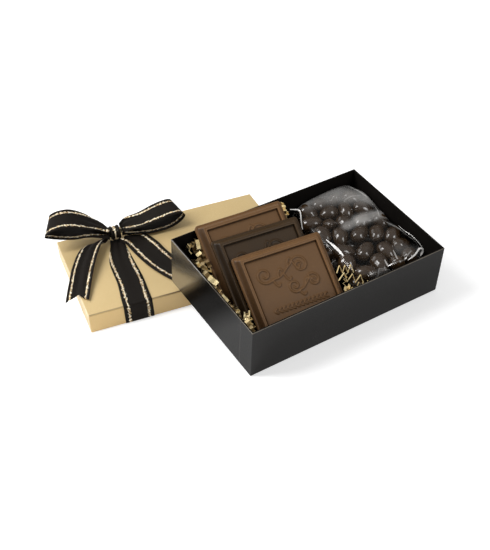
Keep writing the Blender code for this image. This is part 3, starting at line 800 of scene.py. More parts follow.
def barRing(inset, depth, radius):
    # A rounded rectangle round the bar, with the same count of points for any size
    steps, radius = barSizes["ringSteps"], max(radius, 0.1 * mm)
    right, top = barSizes["length"] - inset - radius, barSizes["height"] - inset - radius
    left = low = inset + radius
    arcs = []
    for k, (x, z) in enumerate(((right, low), (right, top), (left, top), (left, low))):
        angles = [math.radians(90 * (k - 1 + s / steps)) for s in range(steps + 1)]
        arcs.append([(x + radius * math.cos(a), z + radius * math.sin(a)) for a in angles])
    ring = []
    for arc, after in zip(arcs, arcs[1:] + arcs[:1]):
        (x0, z0), (x1, z1) = arc[-1], after[0]
        ring += arc + [(x0 + (x1 - x0) * s / steps, z0 + (z1 - z0) * s / steps) for s in range(1, steps)]
    return [Vector((x, -depth, z)) for x, z in ring]


def barPlace(k):
    s, lean = barSizes, barSizes["lean"]
    along = Vector((0, math.sin(lean), math.cos(lean)))
    forward = Vector((0, -math.cos(lean), math.sin(lean)))
    foot = forward * (layout["seatGap"] + k * s["pitch"] + s["outward"][k])
    foot -= along * (s["reach"] + k * s["stagger"] - s["upward"][k])
    foot.x = s["shift"][k] * s["length"] + s["aside"][k]
    rear = Vector((s["fromLeft"], layout["trayWidth"] - layout["trayWall"], layout["trayHeight"]))
    stack = trayPlace @ Matrix.Translation(rear) @ Matrix.Rotation(s["turn"], 4, "Z")
    turned = Matrix.Rotation(-lean, 4, "X") @ Matrix.Rotation(-math.radians(s["roll"][k]), 4, "Y")
    return stack @ Matrix.Translation(foot) @ Matrix.Rotation(math.radians(s["askew"][k]), 4, "Z") @ turned


def curl(x, y, radius, start):
    # A spiral from its outer end inwards, in mm
    points = []
    for share in np.linspace(0, 1, 15):
        angle = math.radians(start) - share * 1.35 * 2 * math.pi
        reach = radius * (1 - 0.82 * share)
        points.append((x + reach * math.cos(angle), y + reach * math.sin(angle)))
    return points


def flourish(x0, x1, y, tall, leaves):
    # A wave with a curl at each end and leaves along it
    def wave(t):
        return x0 + (x1 - x0) * t, y + tall * 0.42 * math.sin(t * 2 * math.pi + 2.6)

    left = curl(x0 + tall * 0.55, y, tall * 0.55, -60)[::-1]
    right = curl(x1 - tall * 0.55, y, tall * 0.55, 120)
    paths = [(left + [wave(t) for t in (0.3, 0.4, 0.5, 0.6, 0.7)] + right, 0.75, 1.0)]
    for k in range(leaves):
        x, root = wave(0.27 + 0.46 * k / (leaves - 1))
        up = tall if k % 2 else -tall
        leaf = [(x, root), (x + 1.6, root + up * 0.32), (x + 4.2, root + up * 0.52), (x + 6.4, root + up * 0.36)]
        paths.append((leaf, 0.8, 0.85))
    return paths


def ornamentPaths(width, height):
    # A plain leaf scroll in three rows, in mm: path, half width and share of the relief's height
    paths = flourish(width * 0.07, width * 0.80, height * 0.75, height * 0.24, 5)
    paths += flourish(width * 0.43, width * 0.88, height * 0.47, height * 0.19, 3)
    # The third row is a straight branch with a pair of leaves at each step
    stem = height * 0.195
    paths.append(([(width * t, stem) for t in (0.12, 0.38, 0.64, 0.90)], 0.45, 0.7))
    for k in range(13):
        x = width * (0.14 + 0.71 * k / 12)
        for up in (1, -1):
            paths.append(([(x, stem), (x + 1.3, stem + up * 1.5), (x + 3.2, stem + up * 2.3)], 0.6, 1.0))
    return paths


def reliefOver(gx, gy, paths):
    # Height 0 to 1 of rounded lines over a grid, in mm
    height = np.zeros(gx.shape)
    for path, half, share in paths:
        dense = densePath(path, 4 * len(path))
        for k, (a, b) in enumerate(zip(dense, dense[1:])):
            low, high = np.minimum(a, b) - 3, np.maximum(a, b) + 3
            near = (gx > low[0]) & (gx < high[0]) & (gy > low[1]) & (gy < high[1])
            away = awayFromLine(gx[near], gy[near], a, b)[0]
            ends = min(1, 0.35 + 2.2 * math.sin(math.pi * (k + 0.5) / (len(dense) - 1)))     # each line tapers
            height[near] = np.maximum(height[near], share * np.exp(-((away / (half * ends)) ** 2)))
    return height


def barProfile():
    # Inset, depth and corner radius of each ring from the back to the panel's edge. Then the rings where the bevel and
    # the frame begin and the frame's inner rim, and where the panel starts and how deep it lies.
    s = barSizes
    total = s["base"] + s["rise"]
    profile = []
    for t in np.linspace(0, math.pi / 2, 5):
        profile.append((s["edge"] * (1 - math.sin(t)), s["edge"] * (1 - math.cos(t)), s["corner"]))
    for t in np.linspace(0, math.pi / 2, 5):
        profile.append((s["edge"] * (1 - math.cos(t)), s["base"] - s["edge"] * (1 - math.sin(t)), s["corner"]))
    profile.append((s["flange"] * 0.7, s["base"], s["corner"] * 0.8))
    inside, bevel = s["flange"], len(profile)
    for t in (0.0, 0.05, 0.15, 0.35, 0.6, 0.8, 0.92, 0.98, 1.0):
        ease = min(max(t - 0.08 * math.sin(2 * math.pi * t), 0), 1)
        profile.append((inside + s["slope"] * t, s["base"] + s["rise"] * ease, s["corner"] * (0.8 - 0.4 * t)))
    inside, outerRim = inside + s["slope"], len(profile)
    for t in (0.1, 0.3, 0.7, 0.9, 1.0):
        profile.append((inside + s["frame"] * t, total - (2 * t - 1) ** 4 * s["frameRound"], 1.2 * mm))
    inside += s["frame"]
    rim = len(profile) - 2
    drop = s["panelDepth"] + s["grooveDepth"] - s["frameRound"]
    for t in (0.15, 0.5, 0.85, 1.0):
        profile.append((inside + s["step"] * t, total - s["frameRound"] - drop * t, 0.6 * mm))
    inside += s["step"]
    floor = total - s["panelDepth"]
    for t in (0.3, 0.7, 1.0):
        profile.append((inside + s["grooveWidth"] * t, floor - s["grooveDepth"] * (1 - t) ** 1.5, 0.6 * mm))
    return profile, (bevel, outerRim, rim), inside + s["grooveWidth"] * 0.9, floor


def makeBar(k, nodeName, body, finish):
    profile, (bevel, outerRim, rim), start, floor = barProfile()
    points = [p for ring in profile for p in barRing(*ring)]
    count = len(points) // len(profile)
    paintedShade, ridge = np.zeros((len(profile), count)), np.zeros((len(profile), count))
    # Painted shade in the groove round the panel
    for ring, value in enumerate((0.15, 0.5, 0.9, 1.0, 0.85, 0.35), rim + 2):
        paintedShade[ring] = value
    # Painted highlights along the frame's outer rim and inner rim
    for middle, values in ((outerRim - 1, (0.25, 0.6, 0.4)), (rim, (0.3, 1.0, 0.5))):
        for ring, value in enumerate(values, middle - 1):
            ridge[ring] = value
    # The left bevel is painted darker: painted shade
    for ring in range(bevel, outerRim - 1):
        for j in range(count):
            if points[ring * count + j].x < profile[ring][0] + 0.5 * mm:
                paintedShade[ring, j] = 0.75
    faces = gridFaces(len(profile), count, closed=True)
    faces += [tuple(reversed(range(count))), tuple(range(len(points) - count, len(points)))]
    # The sunk panel's face, with its leaf scroll, stands a hair above the shell's
    wide, tall = barSizes["length"] - 2 * start, barSizes["height"] - 2 * start
    nx, nz = int(wide / barSizes["reliefStep"]), int(tall / barSizes["reliefStep"])
    gx, gz = np.meshgrid(np.linspace(0, wide, nx), np.linspace(0, tall, nz), indexing="ij")
    relief = reliefOver(gx / mm, gz / mm, ornamentPaths(wide / mm, tall / mm))
    edgeGap = np.minimum(np.minimum(gx, wide - gx), np.minimum(gz, tall - gz))
    depth = floor + barSizes["panelLift"] + relief * barSizes["reliefHeight"]
    depth -= np.where(edgeGap < 1e-9, barSizes["panelEdgeSink"], 0)
    faces += turnedOver(gridFaces(nx, nz, base=len(points)))
    points += [Vector(p) for p in np.stack([gx + start, -depth, gz + start], -1).reshape(-1, 3)]
    steep = np.hypot(*np.gradient(relief))
    bar = makePiece(nodeName.replace("bar_", "") + "Bar", points, faces, barPlace(k), finish)
    # Painted shade on the relief's slopes and painted highlights on its tops
    panelShade, panelHighlight = np.clip(steep * 1.2 - 0.08, 0, 0.42), np.clip(relief * 1.6 - 0.6, 0, 0.35)
    setAttribute(bar.data, "paintedShade", np.concatenate([paintedShade.ravel(), panelShade.ravel()]))
    setAttribute(bar.data, "ridge", np.concatenate([ridge.ravel(), panelHighlight.ravel()]))
    bar.data.update()
    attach(bar, body)
    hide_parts(nodeName)


makeBar(0, "bar_back", "back_bar", finishes["milk"])
makeBar(1, "bar_middle", "middle_bar", finishes["dark"])
makeBar(2, "bar_front", "front_bar", finishes["milk"])
print("bars made")


def scatterTree(name, sizes, shape, waveScale, smooth):
    # One shape on every point, with the point's own turn and grow, and then dents over the whole
    tree = bpy.data.node_groups.new(name, "GeometryNodeTree")
    sockets = [("Geometry", "INPUT", "Geometry", None), ("Material", "INPUT", "Material", None)]
    sockets += [(key, "INPUT", "Int" if isinstance(value, int) else "Float", value) for key, value in sizes.items()]
    for key, way, kind, value in sockets + [("Geometry", "OUTPUT", "Geometry", None)]:
        socket = tree.interface.new_socket(name=key, in_out=way, socket_type="NodeSocket" + kind)
        if value is not None:
            socket.default_value = value

    def step(kind, values, **settings):
        return addNode(tree, kind, values, **settings).outputs

    enter = step("NodeGroupInput", {})
    turn, grow = (
        step("GeometryNodeInputNamedAttribute", {"Name": key}, data_type="FLOAT_VECTOR")["Attribute"]
        for key in ("turn", "grow")
    )
    values = {"Points": enter["Geometry"], "Instance": shape(step, enter), "Scale": grow}
    values["Rotation"] = step("FunctionNodeEulerToRotation", {0: turn})[0]
    copies = step("GeometryNodeInstanceOnPoints", values)["Instances"]
    real = step("GeometryNodeRealizeInstances", {"Geometry": copies})["Geometry"]
    waves = step("ShaderNodeTexNoise", {"Scale": waveScale, "Detail": 1.0})["Color"]
    centred = step("ShaderNodeVectorMath", {0: waves, 1: (0.5, 0.5, 0.5)}, operation="SUBTRACT")["Vector"]
    dents = step("ShaderNodeVectorMath", {0: centred, "Scale": enter["Dent Depth"]}, operation="SCALE")["Vector"]
    uneven = step("GeometryNodeSetPosition", {"Geometry": real, "Offset": dents})["Geometry"]
    shaded = step("GeometryNodeSetShadeSmooth", {"Geometry": uneven, "Shade Smooth": smooth})["Geometry"]
    done = step("GeometryNodeSetMaterial", {"Geometry": shaded, "Material": enter["Material"]})["Geometry"]
    step("NodeGroupOutput", {"Geometry": done})
    return tree


def scatter(name, tree, places, turns, grows, inputs, paintedLights=None, room=None):
    # Runs points through the tree and makes the result one plain mesh, which is pressed into its room in the tray
    mesh = bpy.data.meshes.new(name + "Points")
    mesh.from_pydata([tuple(p) for p in places], [], [])
    for key, values in (("turn", turns), ("grow", grows)):
        layer = mesh.attributes.new(key, "FLOAT_VECTOR", "POINT")
        layer.data.foreach_set("vector", np.asarray(values, np.float32).ravel())
    if paintedLights is not None:
        setAttribute(mesh, "paintedLight", paintedLights)
    holder = linkObject(name + "Points", mesh)
    modifier = holder.modifiers.new("spread", "NODES")
    modifier.node_group = tree
    for item in tree.interface.items_tree:
        if item.in_out == "INPUT" and item.name in inputs:
            modifier[item.identifier] = inputs[item.name]
    bpy.context.view_layer.update()
    plain = bpy.data.meshes.new_from_object(holder.evaluated_get(bpy.context.evaluated_depsgraph_get()))
    holder.modifiers.remove(modifier)
    bpy.data.objects.remove(holder, do_unlink=True)
    plain.name = name
    if room is not None:
        corners = np.empty(3 * len(plain.vertices), np.float32)
        plain.vertices.foreach_get("co", corners)
        plain.vertices.foreach_set("co", np.clip(corners.reshape(-1, 3), *room).ravel())
    plain.transform(trayPlace)
    for key in ("turn", "grow"):
        if key in plain.attributes:
            plain.attributes.remove(plain.attributes[key])
    return linkObject(name, plain)


bagSizes = {
    "low": Vector((134.7, 14.5, 12.3)) * mm,
    "high": Vector((221.5, 144.5, 45.3)) * mm,
    "almond": {"Length": 24 * mm, "Width": 17 * mm, "Thickness": 15.5 * mm, "Dent Depth": 0.9 * mm},
    "almondRadius": 7.8 * mm,
    "topHeight": 37 * mm,
    "lowHeight": 21 * mm,
    "lowRows": (3, 7),
    "lowStart": (148, 26),      # these three are in mm
    "lowPitch": (28, 18),
    "lowStray": 3,
    "clear": 0.6 * mm,
    "cornerPower": 5,
    "settleSteps": 260,
    "push": 0.42,
    "pull": 0.03,
    "sink": 0.04 * mm,
    "seed": 5,
}

# Almonds that show in the top layer: across and along the tray in mm, heading in degrees, length share
topAlmonds = (
    (148, 120, -96, 1.0), (174, 124, -126, 0.9), (162, 107, -105, 0.95), (191, 115, -15, 1.0),
    (209, 108, -23, 1.05), (178, 99, -61, 0.92), (161, 84, -120, 1.0), (182, 78, -30, 0.98),
    (197, 69, -114, 0.95), (211, 58, -30, 0.95), (171, 54, 12, 1.08), (190, 43, -106, 1.0),
    (150, 62, -113, 1.0), (172, 32, -53, 1.08), (142, 45, -60, 0.9), (150, 28, -105, 0.95), (207, 37, -4, 0.95),
    (148, 95, -74, 0.95), (156, 137, -61, 0.95), (189, 136, -42, 0.95), (208, 129, -46, 0.95),
    (173, 137, -30, 0.9), (196, 92, -10, 1.0), (213, 84, -60, 0.95), (190, 22, -20, 0.95), (210, 20, -60, 0.9),
)


def almondShape(step, sizes):
    # One end of a ball is drawn in, so that it becomes a drop
    ball = step("GeometryNodeMeshIcoSphere", {"Radius": 0.5, "Subdivisions": 4})["Mesh"]
    x, y, z = axesOf(step("GeometryNodeInputPosition", {})["Position"])
    narrow = scaled(x, -0.34, 1.0)
    drop = step("ShaderNodeCombineXYZ", {"X": x, "Y": times(y, narrow), "Z": times(z, narrow)})["Vector"]
    size = step("ShaderNodeCombineXYZ", {"X": sizes["Length"], "Y": sizes["Width"], "Z": sizes["Thickness"]})["Vector"]
    grown = step("ShaderNodeVectorMath", {0: drop, 1: size}, operation="MULTIPLY")["Vector"]
    return step("GeometryNodeSetPosition", {"Geometry": ball, "Position": grown})["Geometry"]


def nearestOnPairs(start, end, first, second):
    # Closest points of each pair of rods, as shares along them, and the gap between
    d1, d2 = end[first] - start[first], end[second] - start[second]
    r = start[first] - start[second]
    a, e = (d1 * d1).sum(1), (d2 * d2).sum(1)
    b, c, f = (d1 * d2).sum(1), (d1 * r).sum(1), (d2 * r).sum(1)
    s = np.clip((b * f - c * e) / np.maximum(a * e - b * b, 1e-6 * a * e), 0, 1)
    t = np.clip((b * s + f) / e, 0, 1)
    s = np.clip((b * t - c) / a, 0, 1)
    return s, t, r + d1 * s[:, None] - d2 * t[:, None]


def keepIn(points, low, high):
    # Inside the bag's room, whose corners are round in plan
    points = np.clip(points, low, high)
    centre, half = (low + high) / 2, (high - low) / 2
    share = np.abs(points - centre)[:, :2] / half[:2]
    reach = (share ** bagSizes["cornerPower"]).sum(1) ** (1 / bagSizes["cornerPower"])
    points[:, :2] = centre[:2] + (points[:, :2] - centre[:2]) / np.maximum(reach, 1)[:, None]
    return points


def almondRods(rng):
    # Middle, direction and length share of each almond before it settles, and whether it holds its place
    rods = []
    for x, y, heading, share in topAlmonds:
        tip, angle = rng.uniform(-0.16, 0.16), math.radians(heading)
        heading = (math.cos(angle) * math.cos(tip), math.sin(angle) * math.cos(tip), math.sin(tip))
        rods.append(((x * mm, y * mm, bagSizes["topHeight"]), heading, share, True))
    for spot in np.ndindex(bagSizes["lowRows"]):
        x, y = (
            start + pitch * k + rng.uniform(-bagSizes["lowStray"], bagSizes["lowStray"])
            for start, pitch, k in zip(bagSizes["lowStart"], bagSizes["lowPitch"], spot)
        )
        angle = rng.uniform(0, math.pi)
        heading = (math.cos(angle), math.sin(angle), rng.uniform(-0.15, 0.15))
        rods.append(((x * mm, y * mm, bagSizes["lowHeight"]), heading, rng.uniform(0.9, 1.0), False))
    return (np.array(column) for column in zip(*rods))


def almondLayout():
    # Rods with round ends settle in the bag: the seen ones stay near their places, the rest fill below
    rng = random.Random(bagSizes["seed"])
    radius, sink = bagSizes["almondRadius"], bagSizes["sink"]
    targets, headings, lengths, held = almondRods(rng)
    headings /= np.linalg.norm(headings, axis=1)[:, None]
    stems = (lengths * bagSizes["almond"]["Length"] / 2 - radius)[:, None]
    low = np.array(bagSizes["low"]) + radius + bagSizes["clear"]
    high = np.array(bagSizes["high"]) - radius - bagSizes["clear"]
    start, end = targets - headings * stems, targets + headings * stems
    first, second = np.triu_indices(len(targets), 1)
    for _ in range(bagSizes["settleSteps"]):
        s, t, gap = nearestOnPairs(start, end, first, second)
        distance = np.maximum(np.linalg.norm(gap, axis=1), 1e-5)
        push = np.maximum(2 * radius - distance, 0)[:, None] * gap / distance[:, None] * bagSizes["push"]
        for ends, share in ((start, 1 - s), (end, s)):
            np.add.at(ends, first, push * share[:, None])
        for ends, share in ((start, 1 - t), (end, t)):
            np.add.at(ends, second, -push * share[:, None])
        start, end = keepIn(start, low, high), keepIn(end, low, high)
        middle, reach = (start + end) / 2, end - start
        pull = (targets - middle) * bagSizes["pull"]
        pull[:, 2] -= sink
        middle += np.where(held[:, None], pull, (0, 0, -sink))
        reach *= stems / np.maximum(np.linalg.norm(reach, axis=1)[:, None], 1e-9)
        start, end = middle - reach, middle + reach
    turns, grows = [], []
    for length, reach in zip(lengths, end - start):
        turned = Vector(reach).to_track_quat("X", "Z").to_euler()
        turns.append((turned.x + rng.uniform(-0.5, 0.5), turned.y, turned.z))
        grows.append((length, rng.uniform(0.96, 1.03), rng.uniform(0.96, 1.03)))
    return start, end, turns, grows


def makeAlmonds():
    start, end, turns, grows = almondLayout()
    tree = scatterTree("almondHeap", bagSizes["almond"], almondShape, 85, True)
    heap = scatter("coatedAlmonds", tree, (start + end) / 2, turns, grows, {"Material": finishes["coating"]})
    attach(heap, "bag")
    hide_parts(*[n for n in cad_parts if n.startswith("almond_")])
    return start, end


filmSizes = {
    "grid": (97, 141),
    "cornerPower": 7.0,
    "seamRise": 15 * mm,
    "dip": 3.2 * mm,
    "mostRise": 3.4 * mm,
    "relaxSteps": 240,
    "byBack": 30 * mm,
    "byRight": 20 * mm,
    "rough": 0.28 * mm,
    "crinkles": (45, 100),
    "overAlmonds": 0.5 * mm,
    "floorRise": 0.3 * mm,
    "underShare": 0.3,
    "weld": 0.02 * mm,
    "finGrid": (70, 15),
    "finFoot": 38,
    "finFromFront": 11,
    # The flap's fold, top line and spot are painted highlights
    "finFold": (151.9, 0.75),       # these three are in mm, with how bright they are last
    "finLine": (0.8, 0.42),
    "finSpot": (160.9, 49.2, 1.1, 1),
    "edgeSteps": 40,
}

# Creases in the film: points across and along the bag from -1 to 1, then height and width in mm. Each also paints a
# highlight line along it.
filmCreases = (
    (((0.58, 0.98), (0.76, 0.88), (0.86, 0.7), (0.92, 0.5)), 1.4, 0.7),
    (((0.72, -0.02), (0.8, -0.18), (0.88, -0.34), (0.93, -0.6), (0.95, -0.84)), 1.8, 0.7),
    (((0.9, 0.4), (0.86, 0.22), (0.74, 0.04)), 1.2, 0.6),
    (((-0.72, 0.97), (-0.1, 0.99), (0.4, 0.985)), 0.9, 0.6),
    (((-0.05, 0.04), (0.3, 0.05), (0.62, -0.02)), 0.7, 0.6),
    (((0.2, -0.96), (0.44, -0.9), (0.62, -0.86)), 1.2, 0.7),
    (((0.3, 0.62), (0.55, 0.66), (0.8, 0.6)), 0.8, 0.6), (((-0.2, -0.2), (0.1, -0.35), (0.4, -0.3)), 0.3, 0.8),
    (((-0.5, 0.35), (-0.2, 0.2), (0.05, 0.22)), 0.3, 0.8),
)

# Milky places in the film, which also stand in for glare as a painted reflection: a path over the tray in mm, its
# reach, and how milky
filmHazeAndGlare = (
    (((160, 142), (184, 134), (204, 124), (218, 114)), 22, 0.8), (((170, 86), (184, 87), (194, 87)), 9, 0.8),
    (((188, 88), (202, 87), (217, 85)), 12, 1.0), (((213, 68), (220, 58)), 7, 0.4),
    (((196, 31), (206, 26), (213, 22)), 12, 0.36), (((152, 17), (166, 16)), 7, 0.35),
    (((138, 100), (138, 70)), 6, 0.25),
)

# Height of the film where it lies against the back wall and the right wall: mm along the wall, height in mm
filmAtBack = (
    (134, 36), (142, 38), (150, 41), (157, 43.5), (166, 45.5), (176, 47), (186, 48), (200, 48.5), (206, 48),
    (215, 46), (223, 43),
)
filmAtRight = (
    (14, 37), (25, 41), (38, 43), (49, 41), (62, 41), (78, 38), (83, 40), (90, 42.5), (103, 44.5), (114, 47),
    (121, 47.5), (131, 46), (145, 43),
)

# A loose flap of film stands up at the front: mm along the front, and the height of its top
filmFin = ((150.8, 43), (151, 56.8), (155.5, 54.2), (160.7, 50.7), (166, 47.7), (168, 44.5))

# Sealed edges and sharp folds of the film, drawn as painted highlights: how bright, then points over the tray and
# width, in mm
filmGlintEdges = (
    (
        1.0,
        (
            (134.8, 137.1, 46.0, 0.9), (138.4, 134.2, 46.4, 1.3), (141.7, 130.9, 46.6, 1.5),
            (140.9, 126.8, 45.5, 1.3), (137.9, 120.6, 41.0, 1.4), (135.2, 113.7, 36.0, 1.0),
        ),
    ),
    (
        1.0,
        (
            (140.4, 80.9, 44.4, 0.6), (141.0, 73.0, 44.8, 1.8), (141.4, 66.0, 44.8, 2.8),
            (141.4, 58.0, 44.6, 2.4), (141.3, 48.8, 43.2, 0.9),
        ),
    ),
    (
        1.0,
        (
            (192.3, 15.0, 44.1, 0.5), (197.1, 15.0, 45.5, 1.3), (201.2, 15.0, 47.6, 1.9),
            (203.9, 15.0, 51.2, 2.1), (205.6, 15.0, 53.5, 2.0), (209.7, 15.0, 51.7, 2.2),
            (211.1, 15.2, 47.2, 2.7), (210.2, 15.3, 43.5, 1.9), (209.6, 15.3, 41.4, 0.8),
        ),
    ),
    (
        0.3,
        (
            (220.5, 62.6, 41.4, 0.6), (220.5, 53.8, 41.3, 0.8), (220.5, 42.5, 43.2, 0.9),
            (220.5, 32.0, 42.4, 0.9), (220.0, 25.3, 41.4, 0.8),
        ),
    ),
    (
        0.32,
        (
            (168.0, 16.0, 46.7, 0.8), (174.1, 16.0, 47.6, 1.1), (180.5, 16.0, 47.0, 1.1),
            (189.8, 16.0, 44.5, 0.8),
        ),
    ),
    (0.42, ((187.3, 32.4, 47.0, 0.4), (185.6, 27.7, 47.0, 1.4), (182.4, 19.2, 47.0, 1.7))),
    (0.48, ((171.5, 25.5, 47.0, 0.4), (170.1, 22.5, 47.0, 1.6), (168.1, 16.1, 47.0, 1.7))),
    (0.9, ((189.0, 16.0, 46.4, 0.7), (190.4, 16.0, 46.9, 1.6), (191.4, 16.0, 47.2, 0.7))),
)


def distanceToPath(gx, gy, path):
    # Distance from each grid point to the path, and the share along it
    nearest, along = np.full(gx.shape, 1e9), np.zeros(gx.shape)
    dense = densePath(path, 26)
    for k, (a, b) in enumerate(zip(dense, dense[1:])):
        away, t = awayFromLine(gx, gy, a, b)
        closer = away < nearest
        nearest = np.where(closer, away, nearest)
        along = np.where(closer, (k + t) / (len(dense) - 1), along)
    return nearest, along


def filmGrid():
    # Points over the bag, from -1 to 1 each way, with round corners and close together at its edge. Then how near each
    # is to the edge, and which are on it.
    nx, ny = filmSizes["grid"]
    power = filmSizes["cornerPower"]
    us, vs = np.meshgrid(np.linspace(-1, 1, nx), np.linspace(-1, 1, ny), indexing="ij")
    square = np.maximum(np.abs(us), np.abs(vs))
    reach = (np.abs(us) ** power + np.abs(vs) ** power) ** (1 / power)
    pull = np.where(reach > 1e-9, square / np.maximum(reach, 1e-9), 1)
    eased = np.sin(square * math.pi / 2) ** 0.75 / np.maximum(square, 1e-9)
    return us * pull * eased, vs * pull * eased, square * eased, square > 0.999


def tightSheet(gx, gy, edge, rim, start, end):
    # The top lies over the almonds as a tight sheet. Towards the back and right walls it keeps the height it has there.
    low, high = bagSizes["low"], bagSizes["high"]
    seam = low.z + filmSizes["seamRise"]
    radius = bagSizes["almondRadius"] + filmSizes["overAlmonds"]
    under = np.full(gx.shape, seam)
    for a, b in zip(start, end):
        away, t = awayFromLine(gx, gy, a, b)
        back = a[2] + (b[2] - a[2]) * t + np.sqrt(np.maximum(radius**2 - away**2, 0))
        under = np.where(away < radius, np.maximum(under, back), under)
    under = np.minimum(under, high.z - 0.2 * mm)
    atBack = np.interp(gx / mm, *zip(*filmAtBack)) * mm
    atRight = np.interp(gy / mm, *zip(*filmAtRight)) * mm
    byBack = np.clip((gy - high.y + filmSizes["byBack"]) / filmSizes["byBack"], 0, 1) ** 1.5
    byRight = np.clip((gx - high.x + filmSizes["byRight"]) / filmSizes["byRight"], 0, 1) ** 1.5
    top = high.z + (atBack - high.z) * byBack
    higher = np.where(byBack > 0.4, np.maximum(atRight, atBack), atRight)
    top = np.where(byRight > 0, top + (higher - top) * byRight, top)
    tight = np.clip(np.maximum(byBack, byRight) * 3, 0, 1)
    # The crown rounds down to the seam, and more sharply beside the walls
    crown = seam + (top - seam) * np.clip(1 - edge ** (16 + 28 * tight), 0, 1) ** 0.5
    height = crown.copy()
    for _ in range(filmSizes["relaxSteps"]):
        mean = height.copy()
        mean[1:-1, 1:-1] = (height[2:, 1:-1] + height[:-2, 1:-1] + height[1:-1, 2:] + height[1:-1, :-2]) / 4
        height = np.maximum(mean, np.minimum(under, crown))
        height = np.maximum(height, crown - filmSizes["dip"] * (1 - edge**4) * (1 - 0.7 * byBack))
        height[rim] = seam
    return height


def crinkleOver(gx, gy):
    # Fine ridges, 0 to 1
    rough = np.zeros(gx.shape)
    wide, narrow = filmSizes["crinkles"]
    for spot in np.ndindex(gx.shape):
        p = Vector((gx[spot], gy[spot], 0))
        ridge = 1 - abs(noise.noise(p * wide)) * 2.2
        fine = 1 - abs(noise.noise(p * narrow + Vector((3, 1, 7)))) * 2
        rough[spot] = max(ridge, 0) ** 3 * 0.8 + max(fine, 0) ** 3 * 0.2
    return rough


def filmFlap():
    # The loose flap's points, haze and crease. Its left fold, its top line and one spot carry painted highlights.
    count, rise = filmSizes["finGrid"]
    x, up = np.meshgrid(np.linspace(filmFin[0][0], filmFin[-1][0], count), np.linspace(0, 1, rise), indexing="ij")
    up = 1 - (1 - up) ** 1.5
    top = np.interp(x, *zip(*filmFin))
    z = filmSizes["finFoot"] + (top - filmSizes["finFoot"]) * up
    points = np.stack([x, filmSizes["finFromFront"] + 0.3 * np.sin(x * 0.4) * up, z], -1)
    (fold, foldGlint), (line, lineGlint) = filmSizes["finFold"], filmSizes["finLine"]
    spotX, spotZ, spotReach, spotGlint = filmSizes["finSpot"]
    glint = np.maximum(np.where(x < fold, foldGlint, 0), np.where(top - z < line, lineGlint, 0))
    glint = np.maximum(glint, np.where(np.hypot(x - spotX, z - spotZ) < spotReach, spotGlint, 0))
    return points * mm, 0.45 + 0.35 * up, glint


def filmEdge(bright, path):
    # A narrow strip of film along a path, turned to the photograph's side, which carries a painted highlight
    steps = filmSizes["edgeSteps"]
    towardsView = trayPlace.to_3x3().inverted() @ Vector(view["back"])
    rows = densePath(path, steps)
    side = np.cross(np.gradient(rows[:, :3], axis=0), np.array(towardsView))
    side /= np.linalg.norm(side, axis=1)[:, None]
    folded = np.abs(np.sin(np.arange(steps) * 0.9))[:, None] * 0.25 + 0.75
    points = np.stack([rows[:, :3] + side * rows[:, 3:] * folded * share for share in (-0.5, -0.2, 0.2, 0.5)], 1)
    return points * mm, np.full((steps, 4), 0.5), np.tile((0.75, 1.0, 1.0, 0.6), (steps, 1)) * bright


def makeFilm(start, end):
    # The film's top rounds down to a seam at mid height, and it lies flat below
    low, high = bagSizes["low"], bagSizes["high"]
    middle, half = (low + high) / 2, (high - low) / 2
    across, along, edge, rim = filmGrid()
    gx, gy = middle.x + across * half.x, middle.y + along * half.y
    height = tightSheet(gx, gy, edge, rim, start, end)
    height += crinkleOver(gx, gy) * filmSizes["rough"] * np.clip((1 - edge) * 6, 0, 1)
    paintedCrease, hazeAndGlare = np.zeros(gx.shape), np.zeros(gx.shape)
    for path, tall, wide in filmCreases:
        path = [((middle.x + u * half.x) / mm, (middle.y + v * half.y) / mm) for u, v in path]
        away, share = distanceToPath(gx / mm, gy / mm, path)
        fade = np.sin(np.clip(share, 0, 1) * math.pi) ** 0.5
        height += tall * mm * 0.6 * np.exp(-np.abs(away / wide) ** 1.3) * fade * np.clip((1 - edge) * 8, 0, 1)
        # Painted highlight along each crease
        paintedCrease = np.maximum(paintedCrease, np.exp(-((away / wide * 1.6) ** 2)) * fade * min(tall / 1.8, 1))
    height = np.minimum(height, high.z + filmSizes["mostRise"])
    # Haze is partly milky film and partly painted reflection of glare
    for path, wide, amount in filmHazeAndGlare:
        soft = np.clip((wide - distanceToPath(gx / mm, gy / mm, path)[0]) / (0.8 * wide), 0, 1)
        hazeAndGlare = np.maximum(hazeAndGlare, amount * soft * soft * (3 - 2 * soft))
    seamShare = np.clip((edge - 0.80) / 0.20, 0, 1) ** 2.2
    floor = np.minimum(low.z + filmSizes["floorRise"] + filmSizes["seamRise"] * seamShare, height)
    patches = [
        (np.stack([gx, gy, sheet], -1), hazeAndGlare * share, paintedCrease * share)
        for sheet, share in ((height, 1), (floor, filmSizes["underShare"]))
    ]
    patches += [filmFlap()] + [filmEdge(*row) for row in filmGlintEdges]
    faces, base = [], 0
    for k, patch in enumerate(patches):
        rows, columns = patch[0].shape[:2]
        quads = gridFaces(rows, columns, base=base)
        faces += turnedOver(quads) if k == 1 else quads      # the second patch is the underside
        base += rows * columns
    points = np.concatenate([patch[0].reshape(-1, 3) for patch in patches])
    film = makePiece("filmBag", points, faces, trayPlace, finishes["film"])
    for k, key in enumerate(("hazeAndGlare", "paintedCrease"), 1):
        setAttribute(film.data, key, np.concatenate([patch[k].ravel() for patch in patches]))
    bm = bmesh.new()
    bm.from_mesh(film.data)
    bmesh.ops.remove_doubles(bm, verts=bm.verts, dist=filmSizes["weld"])
    bmesh.ops.recalc_face_normals(bm, faces=bm.faces)
    bm.to_mesh(film.data)
    bm.free()
    film.data.shade_smooth()
    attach(film, "bag")
    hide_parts("bag_film")


makeFilm(*makeAlmonds())
print("almonds and film made")


